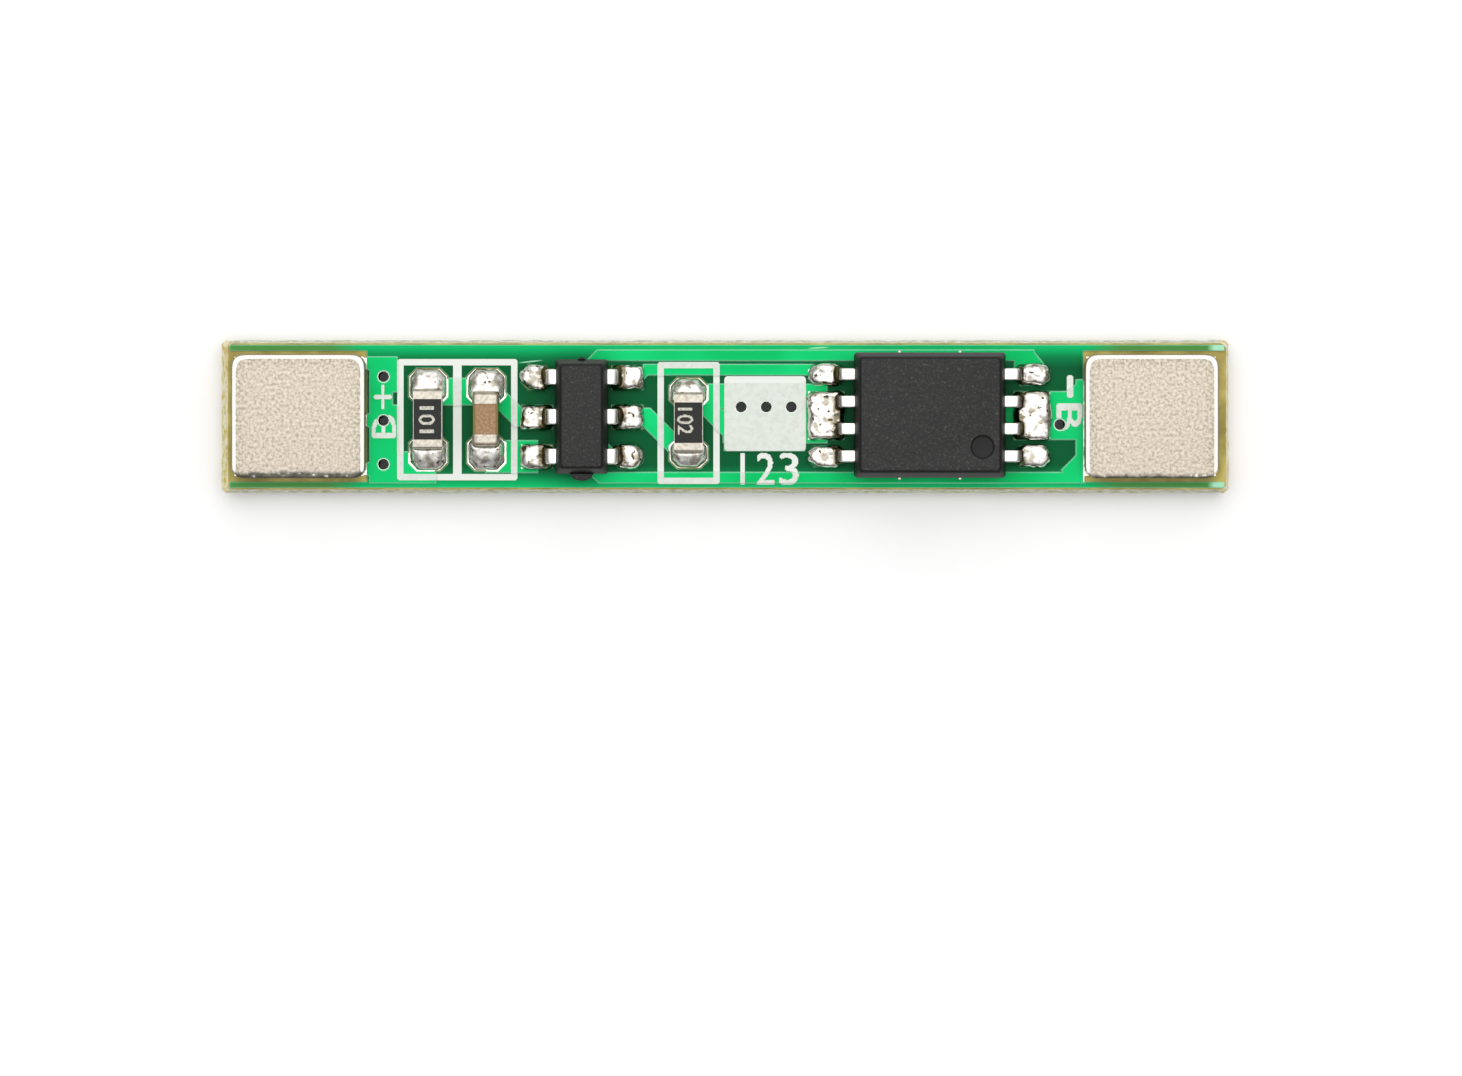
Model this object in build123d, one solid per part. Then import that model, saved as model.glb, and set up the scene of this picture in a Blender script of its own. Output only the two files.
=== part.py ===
from build123d import *
from math import atan2, cos, degrees, radians, sin, tan
import os

# A battery management board for one rechargeable cell: a narrow two-sided circuit board with two
# resistors, a capacitor, a six-lead control chip and an eight-lead switching chip, and a nickel tab
# at each end that is welded to the cell. The output wires are soldered to bare lands underneath.
#
# Millimetres, component side up. X runs along the board and Y across it. While it is built, x is
# counted from the left end, where the positive tab is; the finished pieces are moved so that the
# origin is the middle of the board, on the plane that the tinned lands of the underside rest on.

# Thickness of each layer
laminate_thickness = 0.80
copper_thickness = 0.05
mask_thickness = 0.03
legend_thickness = 0.02
tin_proud = 0.01
plating_thickness = 0.03

# Edge of the board, scored on both faces and snapped out of its panel
corner_radius = 0.17
score_depth = 0.24
score_width = 0.12
left_score_width = 0.23
mask_to_score = 0.04
track_to_edge = 0.315
tab_to_edge = 0.36

# Nickel tabs and the solder under them
tab_length = 3.57
tab_width = 3.30
tab_thickness = 0.35
tab_corner_radius = 0.33
tab_edge_radius = 0.11
tab_bed_thickness = 0.05
tab_land_inset = 0.06
tab_window_gap = 0.10
tab_window_inner_gap = 0.02

# Gaps along the board, each from the piece before it
tab_to_board_end = 0.34
tab_to_column = 0.47
column_to_frame = 0.367
frame_to_controller = 0.13
controller_to_frame = 0.41
frame_to_patch = 0.124
patch_to_transistor = 0.09
transistor_to_via = 0.289
via_to_tab = 0.65

# Places across the board
pair_y = -0.09
controller_y = -0.02
sense_y = -0.18
transistor_y = 0.02
patch_y = 0.075

# Plated holes, cut with a few flats through all layers to keep the count of faces low
hole_flats = 10
drill_diameter = 0.36
mask_over_rim = 0.015
column_via_y = -0.11
column_via_pitch = 1.17
tab_via_inset = 1.05
negative_via_y = -0.22
output_via_inset = 0.45
output_via_pitch = 0.67
output_row_y = 0.25
output_row_gap = 0.74
source_via_offset = -0.07
source_via_pitch = 0.81
source_via_y = -0.05

# Resistors: an alumina chip with a black glaze between wrapped terminals
resistor_length = 1.58
resistor_width = 0.77
resistor_height = 0.42
resistor_band = 0.25
terminal_thickness = 0.03
terminal_corner = 0.024
glaze_thickness = 0.04
glaze_side_gap = 0.02

# Capacitor: a taller ceramic block with a metal cap on each end
capacitor_length = 1.44
capacitor_width = 0.72
capacitor_height = 0.66
capacitor_band = 0.31
capacitor_corner = 0.05

# Lands and joints of the two-terminal chips
chip_land_width = 1.00
chip_land_corner = 0.20
chip_land_gap = 0.84
supply_toe = 0.56
capacitor_toe = 0.63
sense_toe = 0.40
joint_gap = 0.02
joint_corner = 0.06
chip_joint_rise = 0.30
chip_joint_side = 0.03
opening_gap = 0.03

# How solder thins out from a chip's end: share of its rise, and share of its toe still covered
chip_joint_profile = ((0.45, 0.88), (0.80, 0.52), (1, 0.20))

# Printed frames and the printed patch
frame_line = 0.17
frame_corner = 0.05
divider_line = 0.23
frame_side_gap = 0.16
pair_frame_end_gap = 0.10
sense_frame_end_gap = 0.27
patch_length = 2.18
patch_width = 2.00
patch_corner = 0.10

# Control chip, six leads
controller_width = 1.43
controller_length = 3.06
controller_height = 1.05
controller_parting = 0.50
controller_pitch = 1.055
controller_lead_width = 0.42
controller_lead_reach = 0.545
controller_foot = 0.28
controller_land_width = 0.58
controller_land_length = 0.78
controller_land_corner = 0.17
controller_toe = 0.34
gate_width = 0.62
gate_reach = 0.18
vent_width = 0.18
vent_reach = 0.06
nub_thickness = 0.26

# Switching chip, eight leads
transistor_width = 4.05
transistor_length = 3.35
transistor_height = 0.98
transistor_parting = 0.46
transistor_pitch = 0.726
transistor_lead_width = 0.32
transistor_lead_reach = 0.845
transistor_foot = 0.43
transistor_land_width = 0.50
transistor_land_length = 0.90
transistor_land_corner = 0.14
transistor_toe = 0.33
dimple_diameter = 0.60
dimple_depth = 0.05
dimple_to_side = 0.64
dimple_to_end = 0.82

# Shared by both housings and their leads
standoff = 0.06
mould_draft = 0.13
housing_edge = 0.06
housing_corner = 0.06
lead_gauge = 0.13
lead_bend = 0.06
bend_flats = 4
lead_root = 0.16
leg_splay = 0.08
lead_joint_rise = 0.20
lead_joint_side = 0.04
lead_joint_waist = 0.97
lead_joint_crest = 0.77
lead_joint_shoulder = 0.50

# Conductors on the component side
track_width = 0.23
track_gap = 0.155
strap_width = 0.66
wide_track = 0.42
ground_strap = 0.80
column_width = 0.69
column_head = 0.50
column_notch = 0.40
notch_depth = 0.13
link_width = 0.30
strip_reach = 0.17
pour_to_patch = 0.24
pour_under_print = 0.03
collar_width = 0.19
collar_top = 0.95
run_offset = 0.16
run_start = 0.46
ground_bend = 0.50

# Lands and conductors on the underside
end_land_margin = 0.36
end_land_width = 3.44
positive_land_reach = 1.29
negative_land_reach = 0.95
tongue_width = 1.90
tongue_y = 0.095
tongue_opening = 0.14
tongue_margin = 0.31
output_pour_margin = 0.52
output_land_margin = 0.32
output_land_gap = 0.74
pack_land_gap = 1.47
pack_land_length = 2.84
pack_land_width = 3.07
pack_pour_width = 3.26
pour_step = 0.68

# Heights of the faces, from the plane that the board rests on
tin_thickness = mask_thickness + legend_thickness + tin_proud
underside_z = tin_thickness + copper_thickness
topside_z = underside_z + laminate_thickness
pad_z = topside_z + copper_thickness
joint_z = pad_z + joint_gap
housing_z = joint_z + standoff

# Reach of the lands from the middle of the part that stands on them
supply_reach = resistor_length / 2 + supply_toe
capacitor_reach = capacitor_length / 2 + capacitor_toe
sense_reach = resistor_length / 2 + sense_toe
controller_reach = controller_width / 2 + controller_lead_reach + controller_toe
transistor_reach = transistor_width / 2 + transistor_lead_reach + transistor_toe

# Stations along the board, from its left end
left_tab_x = tab_to_board_end + tab_length / 2
column_x = left_tab_x + tab_length / 2 + tab_to_column
tab_via_x = column_x - tab_via_inset
pair_frame_left = column_x + column_to_frame
cell_width = chip_land_width + 2 * frame_side_gap
supply_x = pair_frame_left + frame_line + cell_width / 2
divider_x = supply_x + cell_width / 2 + divider_line / 2
capacitor_x = divider_x + divider_line / 2 + cell_width / 2
pair_frame_right = capacitor_x + cell_width / 2 + frame_line
controller_x = pair_frame_right + frame_to_controller + controller_reach
sense_frame_left = controller_x + controller_reach + controller_to_frame
sense_x = sense_frame_left + frame_line + cell_width / 2
sense_frame_right = sense_x + cell_width / 2 + frame_line
patch_x = sense_frame_right + frame_to_patch + patch_length / 2
output_via_x = patch_x - patch_length / 2 + output_via_inset
transistor_x = patch_x + patch_length / 2 + patch_to_transistor + transistor_reach
source_via_x = transistor_x + source_via_offset
negative_via_x = transistor_x + transistor_reach + transistor_to_via
right_tab_x = negative_via_x + via_to_tab + tab_length / 2
board_length = right_tab_x + tab_length / 2 + tab_to_board_end

# Two long tracks pass above and below the rows of lands, and the board is as wide as they need
controller_row_reach = controller_pitch + controller_land_width / 2
transistor_row_reach = 1.5 * transistor_pitch + transistor_land_width / 2
crowd_top = max(controller_y + controller_row_reach, transistor_y + transistor_row_reach)
crowd_bottom = min(controller_y - controller_row_reach, sense_y - sense_reach)
upper_track_y = crowd_top + track_gap + track_width / 2
charge_track_y = upper_track_y - track_width - track_gap
lower_track_y = crowd_bottom - track_gap - track_width / 2
track_limit = max(upper_track_y, -lower_track_y) + track_width / 2 + track_to_edge
board_width = 2 * max(track_limit, tab_width / 2 + tab_to_edge)
mask_half_width = board_width / 2 - score_width - mask_to_score

# Ends of the underside's lands, from the holes that feed them
positive_land_right = column_x + positive_land_reach
negative_land_left = negative_via_x - negative_land_reach
output_pour_left = output_via_x - output_pour_margin
output_land_left = output_via_x + 2 * output_via_pitch - output_land_margin
tongue_left = source_via_x - tongue_margin
output_land_right = tongue_left - output_land_gap
pack_land_right = output_pour_left - pack_land_gap
pack_land_left = pack_land_right - pack_land_length


def block(x, y, length, width, grow=0.0):
    """A rectangle about a middle point, grown all round."""
    return Pos(x, y) * Rectangle(length + 2 * grow, width + 2 * grow)


def bar(x0, y0, x1, y1, grow=0.0):
    """A rectangle between two opposite corners, grown all round."""
    return block((x0 + x1) / 2, (y0 + y1) / 2, abs(x1 - x0), abs(y1 - y0), grow)


def track(points, width, grow=0.0):
    """A conductor along straight runs, long enough at each end to mitre a 45 degree turn."""
    breadth = width + 2 * grow
    runs = Sketch()
    for (x0, y0), (x1, y1) in zip(points, points[1:]):
        length = ((x1 - x0) ** 2 + (y1 - y0) ** 2) ** 0.5 + breadth * tan(radians(22.5))
        turn = Rot(0, 0, degrees(atan2(y1 - y0, x1 - x0)))
        runs += Pos((x0 + x1) / 2, (y0 + y1) / 2) * turn * Rectangle(length, breadth)
    return runs


def slab(outline, z, rise):
    """A flat sheet of the outline, from height z up, or down where the rise is negative."""
    return extrude(Pos(0, 0, z) * outline, amount=abs(rise), dir=(0, 0, 1 if rise > 0 else -1))


def discs(places, diameter):
    """A hole's outline at each place."""
    return Sketch() + [Pos(*place) * RegularPolygon(diameter / 2, hole_flats) for place in places]


def cut_outline(x, y, length, width, corner, z):
    """A rectangle with cut corners as a flat face at height z."""
    return (Pos(x, y, z) * chamfer(Rectangle(length, width).vertices(), corner)).face()


# Places of the plated holes. Three of the six under the patch are covered by it.
column_vias = [(column_x, column_via_y + step * column_via_pitch) for step in (1, 0, -1)]
tab_vias = [(tab_via_x, column_via_y - column_via_pitch)]
negative_vias = [(negative_via_x, negative_via_y)]
source_vias = [(source_via_x + step * source_via_pitch, source_via_y) for step in range(3)]
output_steps = [output_via_x + step * output_via_pitch for step in range(3)]
output_vias = [(x, output_row_y) for x in output_steps]
covered_vias = [(x, output_row_y - output_row_gap) for x in output_steps]
all_vias = column_vias + tab_vias + negative_vias + source_vias + output_vias + covered_vias


def land(x, y, length, width, corner, grow=0.0):
    """A land with its corners cut, grown all round."""
    outline = block(x, y, length, width, grow)
    return chamfer(outline.vertices(), corner + grow * (2 - 2 ** 0.5)) if corner else outline


def chip_lands(x, y, reach):
    """Upper and lower land of a two-terminal chip: middle, length along X, width and corner."""
    inner = chip_land_gap / 2
    middle = (reach + inner) / 2
    return [(x, y + side * middle, chip_land_width, reach - inner, chip_land_corner)
            for side in (1, -1)]


def lead_rows(y, pitch, count):
    """Heights on the board of a row of leads, from the top down."""
    return [y + pitch * ((count - 1) / 2 - step) for step in range(count)]


controller_rows = lead_rows(controller_y, controller_pitch, 3)
transistor_rows = lead_rows(transistor_y, transistor_pitch, 4)


def controller_lands(side):
    """The three lands on one side of the control chip, cut at the one that no track leaves."""
    x = controller_x + side * (controller_reach - controller_land_length / 2)
    corners = (0, 0, controller_land_corner) if side > 0 else (controller_land_corner, 0, 0)
    return [(x, y, controller_land_length, controller_land_width, corner)
            for y, corner in zip(controller_rows, corners)]


def transistor_lands(side):
    """Three lands on one side of the switching chip: its two middle leads share the second."""
    x = transistor_x + side * (transistor_reach - transistor_land_length / 2)
    length, width, corner = transistor_land_length, transistor_land_width, transistor_land_corner
    shared = transistor_pitch + width
    return [(x, transistor_rows[0], length, width, corner), (x, transistor_y, length, shared, 0),
            (x, transistor_rows[3], length, width, corner)]


supply_lands = chip_lands(supply_x, pair_y, supply_reach)
capacitor_lands = chip_lands(capacitor_x, pair_y, capacitor_reach)
sense_lands = chip_lands(sense_x, sense_y, sense_reach)
controller_left = controller_lands(-1)
controller_right = controller_lands(1)
transistor_left = transistor_lands(-1)
transistor_right = transistor_lands(1)
top_lands = (supply_lands + capacitor_lands + sense_lands + controller_left + controller_right
             + transistor_left + transistor_right)


def tab_land(x, grow=0.0):
    """The land that a nickel tab is soldered to."""
    return block(x, 0, tab_length - 2 * tab_land_inset, tab_width - 2 * tab_land_inset, grow)


# Conductors of the component side, each grown all round by the thickness of what covers it


def positive_copper(grow=0.0):
    """From the positive tab through the column of holes to the supply resistor's lower land."""
    half = column_width / 2
    top = column_vias[0][1] + column_head
    bottom = lower_track_y - track_width / 2
    notch = (column_vias[0][1] + column_vias[1][1]) / 2
    link_reach = top - link_width / 2
    land_x, land_y = supply_lands[1][:2]
    shape = tab_land(left_tab_x, grow) + land(*supply_lands[1], grow)
    shape += bar(column_x - half, bottom, column_x + half - notch_depth, top, grow)
    shape += bar(column_x - half, notch + column_notch / 2, column_x + half, top, grow)
    shape += bar(column_x - half, bottom, column_x + half, notch - column_notch / 2, grow)
    shape += bar(column_x, bottom, land_x + strip_reach, land_y, grow)
    for link_y in (link_reach, column_via_y, -link_reach):
        shape += block((left_tab_x + column_x) / 2, link_y, column_x - left_tab_x, link_width, grow)
    return shape


def supply_copper(grow=0.0):
    """From the supply resistor past the capacitor to the control chip's supply lead."""
    inner_y = pair_y + chip_land_gap / 2
    start = (capacitor_x + (chip_land_width - wide_track) / 2, inner_y + wide_track / 2)
    land_x, land_y = controller_left[1][:2]
    bend = (start[0] + start[1] - land_y, land_y)
    strap_y = inner_y + strap_width / 2
    shape = land(*supply_lands[0], grow) + land(*capacitor_lands[0], grow)
    shape += land(*controller_left[1], grow)
    shape += block((supply_x + capacitor_x) / 2, strap_y, capacitor_x - supply_x, strap_width, grow)
    shape += track([start, bend, (land_x, land_y)], wide_track, grow)
    return shape


def negative_copper(grow=0.0):
    """From the capacitor under both chips to the negative tab."""
    land_x, land_y = controller_left[2][:2]
    bend_x = controller_x + ground_bend
    drop = land_y - lower_track_y
    tab_left = right_tab_x - tab_length / 2
    tab_half = tab_width / 2 - tab_land_inset
    source_x, source_y = transistor_right[1][:2]
    half = transistor_right[1][3] / 2
    collar_x = tab_left - collar_width
    collar_foot_y = lower_track_y + collar_width / 2
    corner = (collar_x - collar_width, source_y + half - wide_track / 2)
    top = (collar_x + wide_track / 2, collar_top - wide_track / 2)
    shape = land(*capacitor_lands[1], grow) + land(*controller_left[2], grow)
    shape += bar(capacitor_x, land_y - ground_strap / 2, land_x, land_y + ground_strap / 2, grow)
    shape += track([(land_x, land_y), (bend_x - drop, land_y), (bend_x, lower_track_y),
                    (collar_x, lower_track_y)], track_width, grow)
    shape += land(*transistor_right[1], grow) + tab_land(right_tab_x, grow)
    shape += bar(source_via_x - tongue_margin, source_via_y - drill_diameter, source_x,
                 source_via_y + drill_diameter, grow)
    shape += bar(source_x, source_y - half, right_tab_x, source_y + half, grow)
    shape += bar(collar_x, lower_track_y - track_width / 2, tab_left, collar_top, grow)
    shape += bar(collar_x, -tab_half, right_tab_x, collar_top, grow)
    shape += track([corner, top], wide_track, grow)
    shape += track([(collar_x - collar_width, collar_foot_y),
                    (collar_x + collar_width, collar_foot_y + 2 * collar_width)], wide_track, grow)
    return shape


def output_copper(grow=0.0):
    """From the sense resistor under the printed patch to the switching chip's output leads."""
    half = patch_width / 2 - pour_to_patch
    pour_left = patch_x - patch_length / 2
    pour_right = patch_x + patch_length / 2 + patch_to_transistor - track_gap
    pour_bottom = patch_y - patch_width / 2 + pour_under_print
    corner_x, corner_y = sense_x + chip_land_width / 2, sense_y + chip_land_gap / 2
    drop = corner_y - (patch_y - half + wide_track / 2)
    shape = land(*sense_lands[0], grow) + land(*transistor_left[1], grow)
    shape += bar(pour_left, patch_y - half, transistor_left[1][0], patch_y + half, grow)
    shape += bar(pour_left + pour_under_print, pour_bottom, pour_right, patch_y, grow)
    shape += bar(sense_x, corner_y, pour_left, patch_y + half, grow)
    shape += track([(corner_x, corner_y), (corner_x + drop, corner_y - drop)], wide_track, grow)
    return shape


def charge_copper(grow=0.0):
    """Gate track from the control chip's upper right lead to the switching chip."""
    land_x, land_y = controller_right[0][:2]
    exit_x = land_x + controller_land_length / 2 - track_width / 2
    shape = land(*controller_right[0], grow) + land(*transistor_left[0], grow)
    shape += track([(land_x, land_y), (exit_x, land_y),
                    (exit_x + charge_track_y - land_y, charge_track_y),
                    (transistor_left[0][0], charge_track_y)], track_width, grow)
    return shape


def discharge_copper(grow=0.0):
    """Gate track from the lower right lead up under the control chip and along the board's edge."""
    land_x, land_y = controller_right[2][:2]
    run_x = controller_x + run_offset
    turn = run_start - run_offset
    rise = land_x - controller_land_length / 2 - run_x
    gate_x, gate_y, gate_length = transistor_right[0][:3]
    shape = land(*controller_right[2], grow) + land(*transistor_right[0], grow)
    shape += track([(land_x, land_y), (run_x + rise, land_y), (run_x, land_y + rise),
                    (run_x, upper_track_y - turn), (run_x + turn, upper_track_y),
                    (gate_x, upper_track_y)], track_width, grow)
    shape += bar(gate_x - gate_length / 2, gate_y, gate_x, upper_track_y + track_width / 2, grow)
    shape += track([(gate_x - wide_track / 4, upper_track_y + track_width / 2 - wide_track / 2),
                    (gate_x + gate_length / 2 - wide_track / 2, gate_y)], wide_track, grow)
    return shape


def sense_copper(grow=0.0):
    """From the control chip's middle right lead to the sense resistor."""
    land_x, land_y = controller_right[1][:2]
    exit_x = land_x + controller_land_length / 2 + track_width / 2
    end_x = sense_x - chip_land_width / 4
    shape = land(*controller_right[1], grow) + land(*sense_lands[1], grow)
    shape += track([(land_x, land_y), (exit_x, land_y), (end_x, land_y - (end_x - exit_x))],
                   wide_track, grow)
    return shape


def free_lands(grow=0.0):
    """Lands with no track: the test lead's, and the two that the switching chip joins inside."""
    return land(*controller_left[0], grow) + land(*transistor_left[2], grow) + land(
        *transistor_right[2], grow)


top_nets = {
    "copper_positive": positive_copper,
    "copper_supply": supply_copper,
    "copper_negative": negative_copper,
    "copper_output": output_copper,
    "copper_charge_gate": charge_copper,
    "copper_discharge_gate": discharge_copper,
    "copper_sense": sense_copper,
    "copper_free_lands": free_lands,
}

# Conductors of the underside, mirrored here as they are seen through the board


def under_positive_copper(grow=0.0):
    """Positive land, the pour beside it and the pack's positive output land."""
    pour_right = pack_land_left + pour_step
    half = pack_land_width / 2
    shape = bar(end_land_margin, -end_land_width / 2, positive_land_right, end_land_width / 2, grow)
    shape += bar(positive_land_right - link_width, -half, pour_right, pack_pour_width / 2, grow)
    shape += bar(pack_land_left, -half, pack_land_right, half, grow)
    return shape


def under_output_copper(grow=0.0):
    """The pack's negative output land and the pour with its six holes."""
    pour_half = pack_pour_width / 2
    half = pack_land_width / 2
    shape = bar(output_pour_left, -pour_half, output_land_left + pour_step, pour_half, grow)
    shape += bar(output_land_left, -half, output_land_right, half, grow)
    return shape


def under_negative_copper(grow=0.0):
    """Negative land and the tongue under the switching chip."""
    half = end_land_width / 2
    shape = bar(negative_land_left, -half, board_length - end_land_margin, half, grow)
    shape += bar(tongue_left, tongue_y - tongue_width / 2, negative_land_left + link_width,
                 tongue_y + tongue_width / 2, grow)
    return shape


under_nets = {
    "copper_under_positive": under_positive_copper,
    "copper_under_output": under_output_copper,
    "copper_under_negative": under_negative_copper,
}


def top_copper(grow=0.0):
    """All conductors of the component side."""
    return Sketch() + [net(grow) for net in top_nets.values()]


def under_copper(grow=0.0):
    """All conductors of the underside."""
    return Sketch() + [net(grow) for net in under_nets.values()]


def film(region, copper, face_z, side, under, thickness):
    """A film of even thickness that steps up over the copper, above what is already there."""
    low = slab(region, face_z + side * under, side * thickness)
    raised = slab(region & copper(under + thickness), face_z + side * under,
                  side * (copper_thickness + thickness))
    below = slab(copper(under), face_z, side * (copper_thickness + under))
    return low + raised - below


def laminate():
    """Glass laminate, drilled, with a V groove's slope above and below the snapped middle."""
    def outline(left, other, z):
        size = (board_length - left - other, board_width - 2 * other)
        middle = ((board_length + left - other) / 2, 0, z)
        return (Pos(*middle) * RectangleRounded(*size, corner_radius)).face()
    full_low = outline(0, 0, underside_z + score_depth)
    full_high = outline(0, 0, topside_z - score_depth)
    low = outline(left_score_width, score_width, underside_z)
    high = outline(left_score_width, score_width, topside_z)
    web = slab(full_low, 0, laminate_thickness - 2 * score_depth)
    core = loft([low, full_low], ruled=True) + web + loft([full_high, high], ruled=True)
    return core - slab(discs(all_vias, drill_diameter), underside_z, laminate_thickness)


def conductor(net, face_z, side):
    """One net's copper, drilled for the plated holes."""
    return slab(net() - discs(all_vias, drill_diameter), face_z, side * copper_thickness)


def plated_holes(places):
    """Copper tubes that join the conductors of both faces."""
    height = pad_z - tin_thickness
    ring = discs(places, drill_diameter) - discs(places, drill_diameter - 2 * plating_thickness)
    return slab(ring, tin_thickness, height)


def tab_window(x):
    """Where the mask leaves the laminate bare round a tab, out to the end of the board."""
    inward = 1 if x < board_length / 2 else -1
    half = tab_width / 2 + tab_window_gap
    inner = x + inward * (tab_length / 2 + tab_window_inner_gap)
    return bar(x - inward * board_length, -half, inner, half)


def mask_top_region():
    """Outline of the upper mask with its openings."""
    left = left_score_width + mask_to_score
    right = board_length - score_width - mask_to_score
    region = bar(left, -mask_half_width, right, mask_half_width)
    region -= tab_window(left_tab_x) + tab_window(right_tab_x)
    region -= Sketch() + [land(*place, opening_gap) for place in top_lands]
    open_vias = column_vias + negative_vias + source_vias + output_vias
    return region - discs(open_vias, drill_diameter - 2 * mask_over_rim)


def under_openings():
    """Where the lower mask leaves the output lands and the tongue bare."""
    half = pack_pour_width / 2 + opening_gap
    tongue_half = tongue_width / 2 + opening_gap
    return [
        bar(pack_land_left, -half, pack_land_right + opening_gap, half),
        bar(output_land_left, -half, output_land_right + opening_gap, half),
        bar(negative_land_left - tongue_opening, tongue_y - tongue_half, negative_land_left,
            tongue_y + tongue_half),
    ]


def mask_under_region():
    """Outline of the lower mask, which stops at the two end lands."""
    region = bar(positive_land_right, -mask_half_width, negative_land_left, mask_half_width)
    region -= Sketch() + under_openings()
    return region - discs(source_vias + output_vias + covered_vias,
                          drill_diameter - 2 * mask_over_rim)


def tinned(net, opening):
    """Level tin over the part of a net that the mask leaves bare, holes left open."""
    holes = discs(all_vias, drill_diameter)
    return slab((net() & opening) - holes, 0, tin_thickness)


def frame_region(left, right, y, half_height, dividers=()):
    """A printed frame round one chip or two, with its outer corners cut."""
    region = bar(left, y - half_height - frame_line, right, y + half_height + frame_line)
    region = chamfer(region.vertices(), frame_corner)
    edges = [left + frame_line, *dividers, right - frame_line]
    for start, end in zip(edges[::2], edges[1::2]):
        region -= bar(start, y - half_height, end, y + half_height)
    return region


def pair_frame_region():
    """The frame round the supply resistor and the capacitor, with a bar between them."""
    half_height = max(supply_reach, capacitor_reach) + pair_frame_end_gap
    dividers = (divider_x - divider_line / 2, divider_x + divider_line / 2)
    return frame_region(pair_frame_left, pair_frame_right, pair_y, half_height, dividers)


def sense_frame_region():
    """The frame round the sense resistor."""
    half_height = sense_reach + sense_frame_end_gap
    return frame_region(sense_frame_left, sense_frame_right, sense_y, half_height)


def patch_region():
    """The printed patch, open over the upper row of holes."""
    region = Pos(patch_x, patch_y) * RectangleRounded(patch_length, patch_width, patch_corner)
    return region - discs(output_vias, drill_diameter - 2 * mask_over_rim)


def printed(region):
    """Ink on the upper mask."""
    return film(region, top_copper, topside_z, 1, mask_thickness, legend_thickness)


def nickel_tab(x):
    """A stamped nickel tab with rounded corners, its upper edge rolled by the punch."""
    def outline(inset, z):
        size = (tab_length - 2 * inset, tab_width - 2 * inset)
        return (Pos(x, 0, z) * RectangleRounded(*size, tab_corner_radius - inset)).face()
    foot = pad_z + tab_bed_thickness
    shoulder = foot + tab_thickness - tab_edge_radius
    turns = [radians(turn) for turn in (0, 45, 90)]
    roll = [outline(tab_edge_radius * (1 - cos(turn)), shoulder + tab_edge_radius * sin(turn))
            for turn in turns]
    return loft([outline(0, foot), *roll], ruled=True)


def tab_bed(x):
    """The solder between a tab and its land."""
    length = tab_length - 2 * tab_land_inset
    width = tab_width - 2 * tab_land_inset
    outline = Pos(x, 0) * RectangleRounded(length, width, tab_corner_radius - tab_land_inset)
    return slab(outline, pad_z, tab_bed_thickness)


def upright_box(x, y, z, length, width, height):
    """A box about a middle point, standing on height z."""
    return Pos(x, y, z) * Box(length, width, height, align=(Align.CENTER, Align.CENTER, Align.MIN))


def resistor_envelope(x, y):
    """The space that a resistor takes up over its joints."""
    height = resistor_height + 2 * terminal_thickness
    return upright_box(x, y, joint_z, resistor_width, resistor_length, height)


def resistor(x, y):
    """Ceramic, glaze and the two terminals, each a C wrapped over one end of the ceramic."""
    ceramic_length = resistor_length - 2 * terminal_thickness
    ceramic_z = joint_z + terminal_thickness
    ceramic = upright_box(x, y, ceramic_z, resistor_width, ceramic_length, resistor_height)
    envelope = resistor_envelope(x, y)
    window = resistor_length - 2 * resistor_band
    middle = upright_box(x, y, joint_z, 2 * resistor_width, window, 2 * resistor_height)
    terminals = envelope - middle - ceramic
    ends = terminals.edges().filter_by(Axis.X).group_by(Axis.Y)
    terminals = fillet(ends[0] + ends[-1], terminal_corner)
    glaze_width = resistor_width - 2 * glaze_side_gap
    glaze = upright_box(x, y, ceramic_z + resistor_height, glaze_width, window, glaze_thickness)
    glaze = fillet(glaze.edges().group_by(Axis.Z)[-1].filter_by(Axis.Y), glaze_thickness / 2)
    return {"ceramic": ceramic, "glaze": glaze, "terminals": terminals}


def capacitor_envelope(x, y):
    """The space that the capacitor takes up over its joints."""
    return upright_box(x, y, joint_z, capacitor_width, capacitor_length, capacitor_height)


def capacitor(x, y):
    """Ceramic block and its two end caps, each a cup over five faces."""
    wall = 2 * terminal_thickness
    ceramic = upright_box(x, y, joint_z + terminal_thickness, capacitor_width - wall,
                          capacitor_length - wall, capacitor_height - wall)
    envelope = capacitor_envelope(x, y)
    envelope = chamfer(envelope.edges(), capacitor_corner)
    window = capacitor_length - 2 * capacitor_band
    middle = upright_box(x, y, joint_z, 2 * capacitor_width, window, 2 * capacitor_height)
    return {"ceramic": ceramic, "terminals": envelope - middle - ceramic}


def heap(sections, corner):
    """Solder drawn up through outlines with cut corners: middle, size and height of each."""
    return loft([cut_outline(x, y, length, width, min(corner, length / 3, width / 3), z)
                 for x, y, length, width, z in sections], ruled=True)


def chip_joints(lands, y, length, width, envelope):
    """Solder at both ends of a chip: it climbs the end face and thins out over the land."""
    joints = Part()
    for (x, land_y, land_width, land_length, corner), side in zip(lands, (1, -1)):
        end_y = y + side * length / 2
        inner_y = land_y - side * land_length / 2
        outer_y = land_y + side * land_length / 2
        toe = outer_y - end_y
        hug = width + 2 * chip_joint_side
        sections = [(x, land_y, land_width, land_length, pad_z)]
        for height, reach in chip_joint_profile:
            outer = end_y + reach * toe
            breadth = width if height == 1 else hug
            sections.append((x, (inner_y + outer) / 2, breadth, abs(outer - inner_y),
                             pad_z + height * chip_joint_rise))
        joints += heap(sections, corner)
    return joints - envelope


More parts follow.
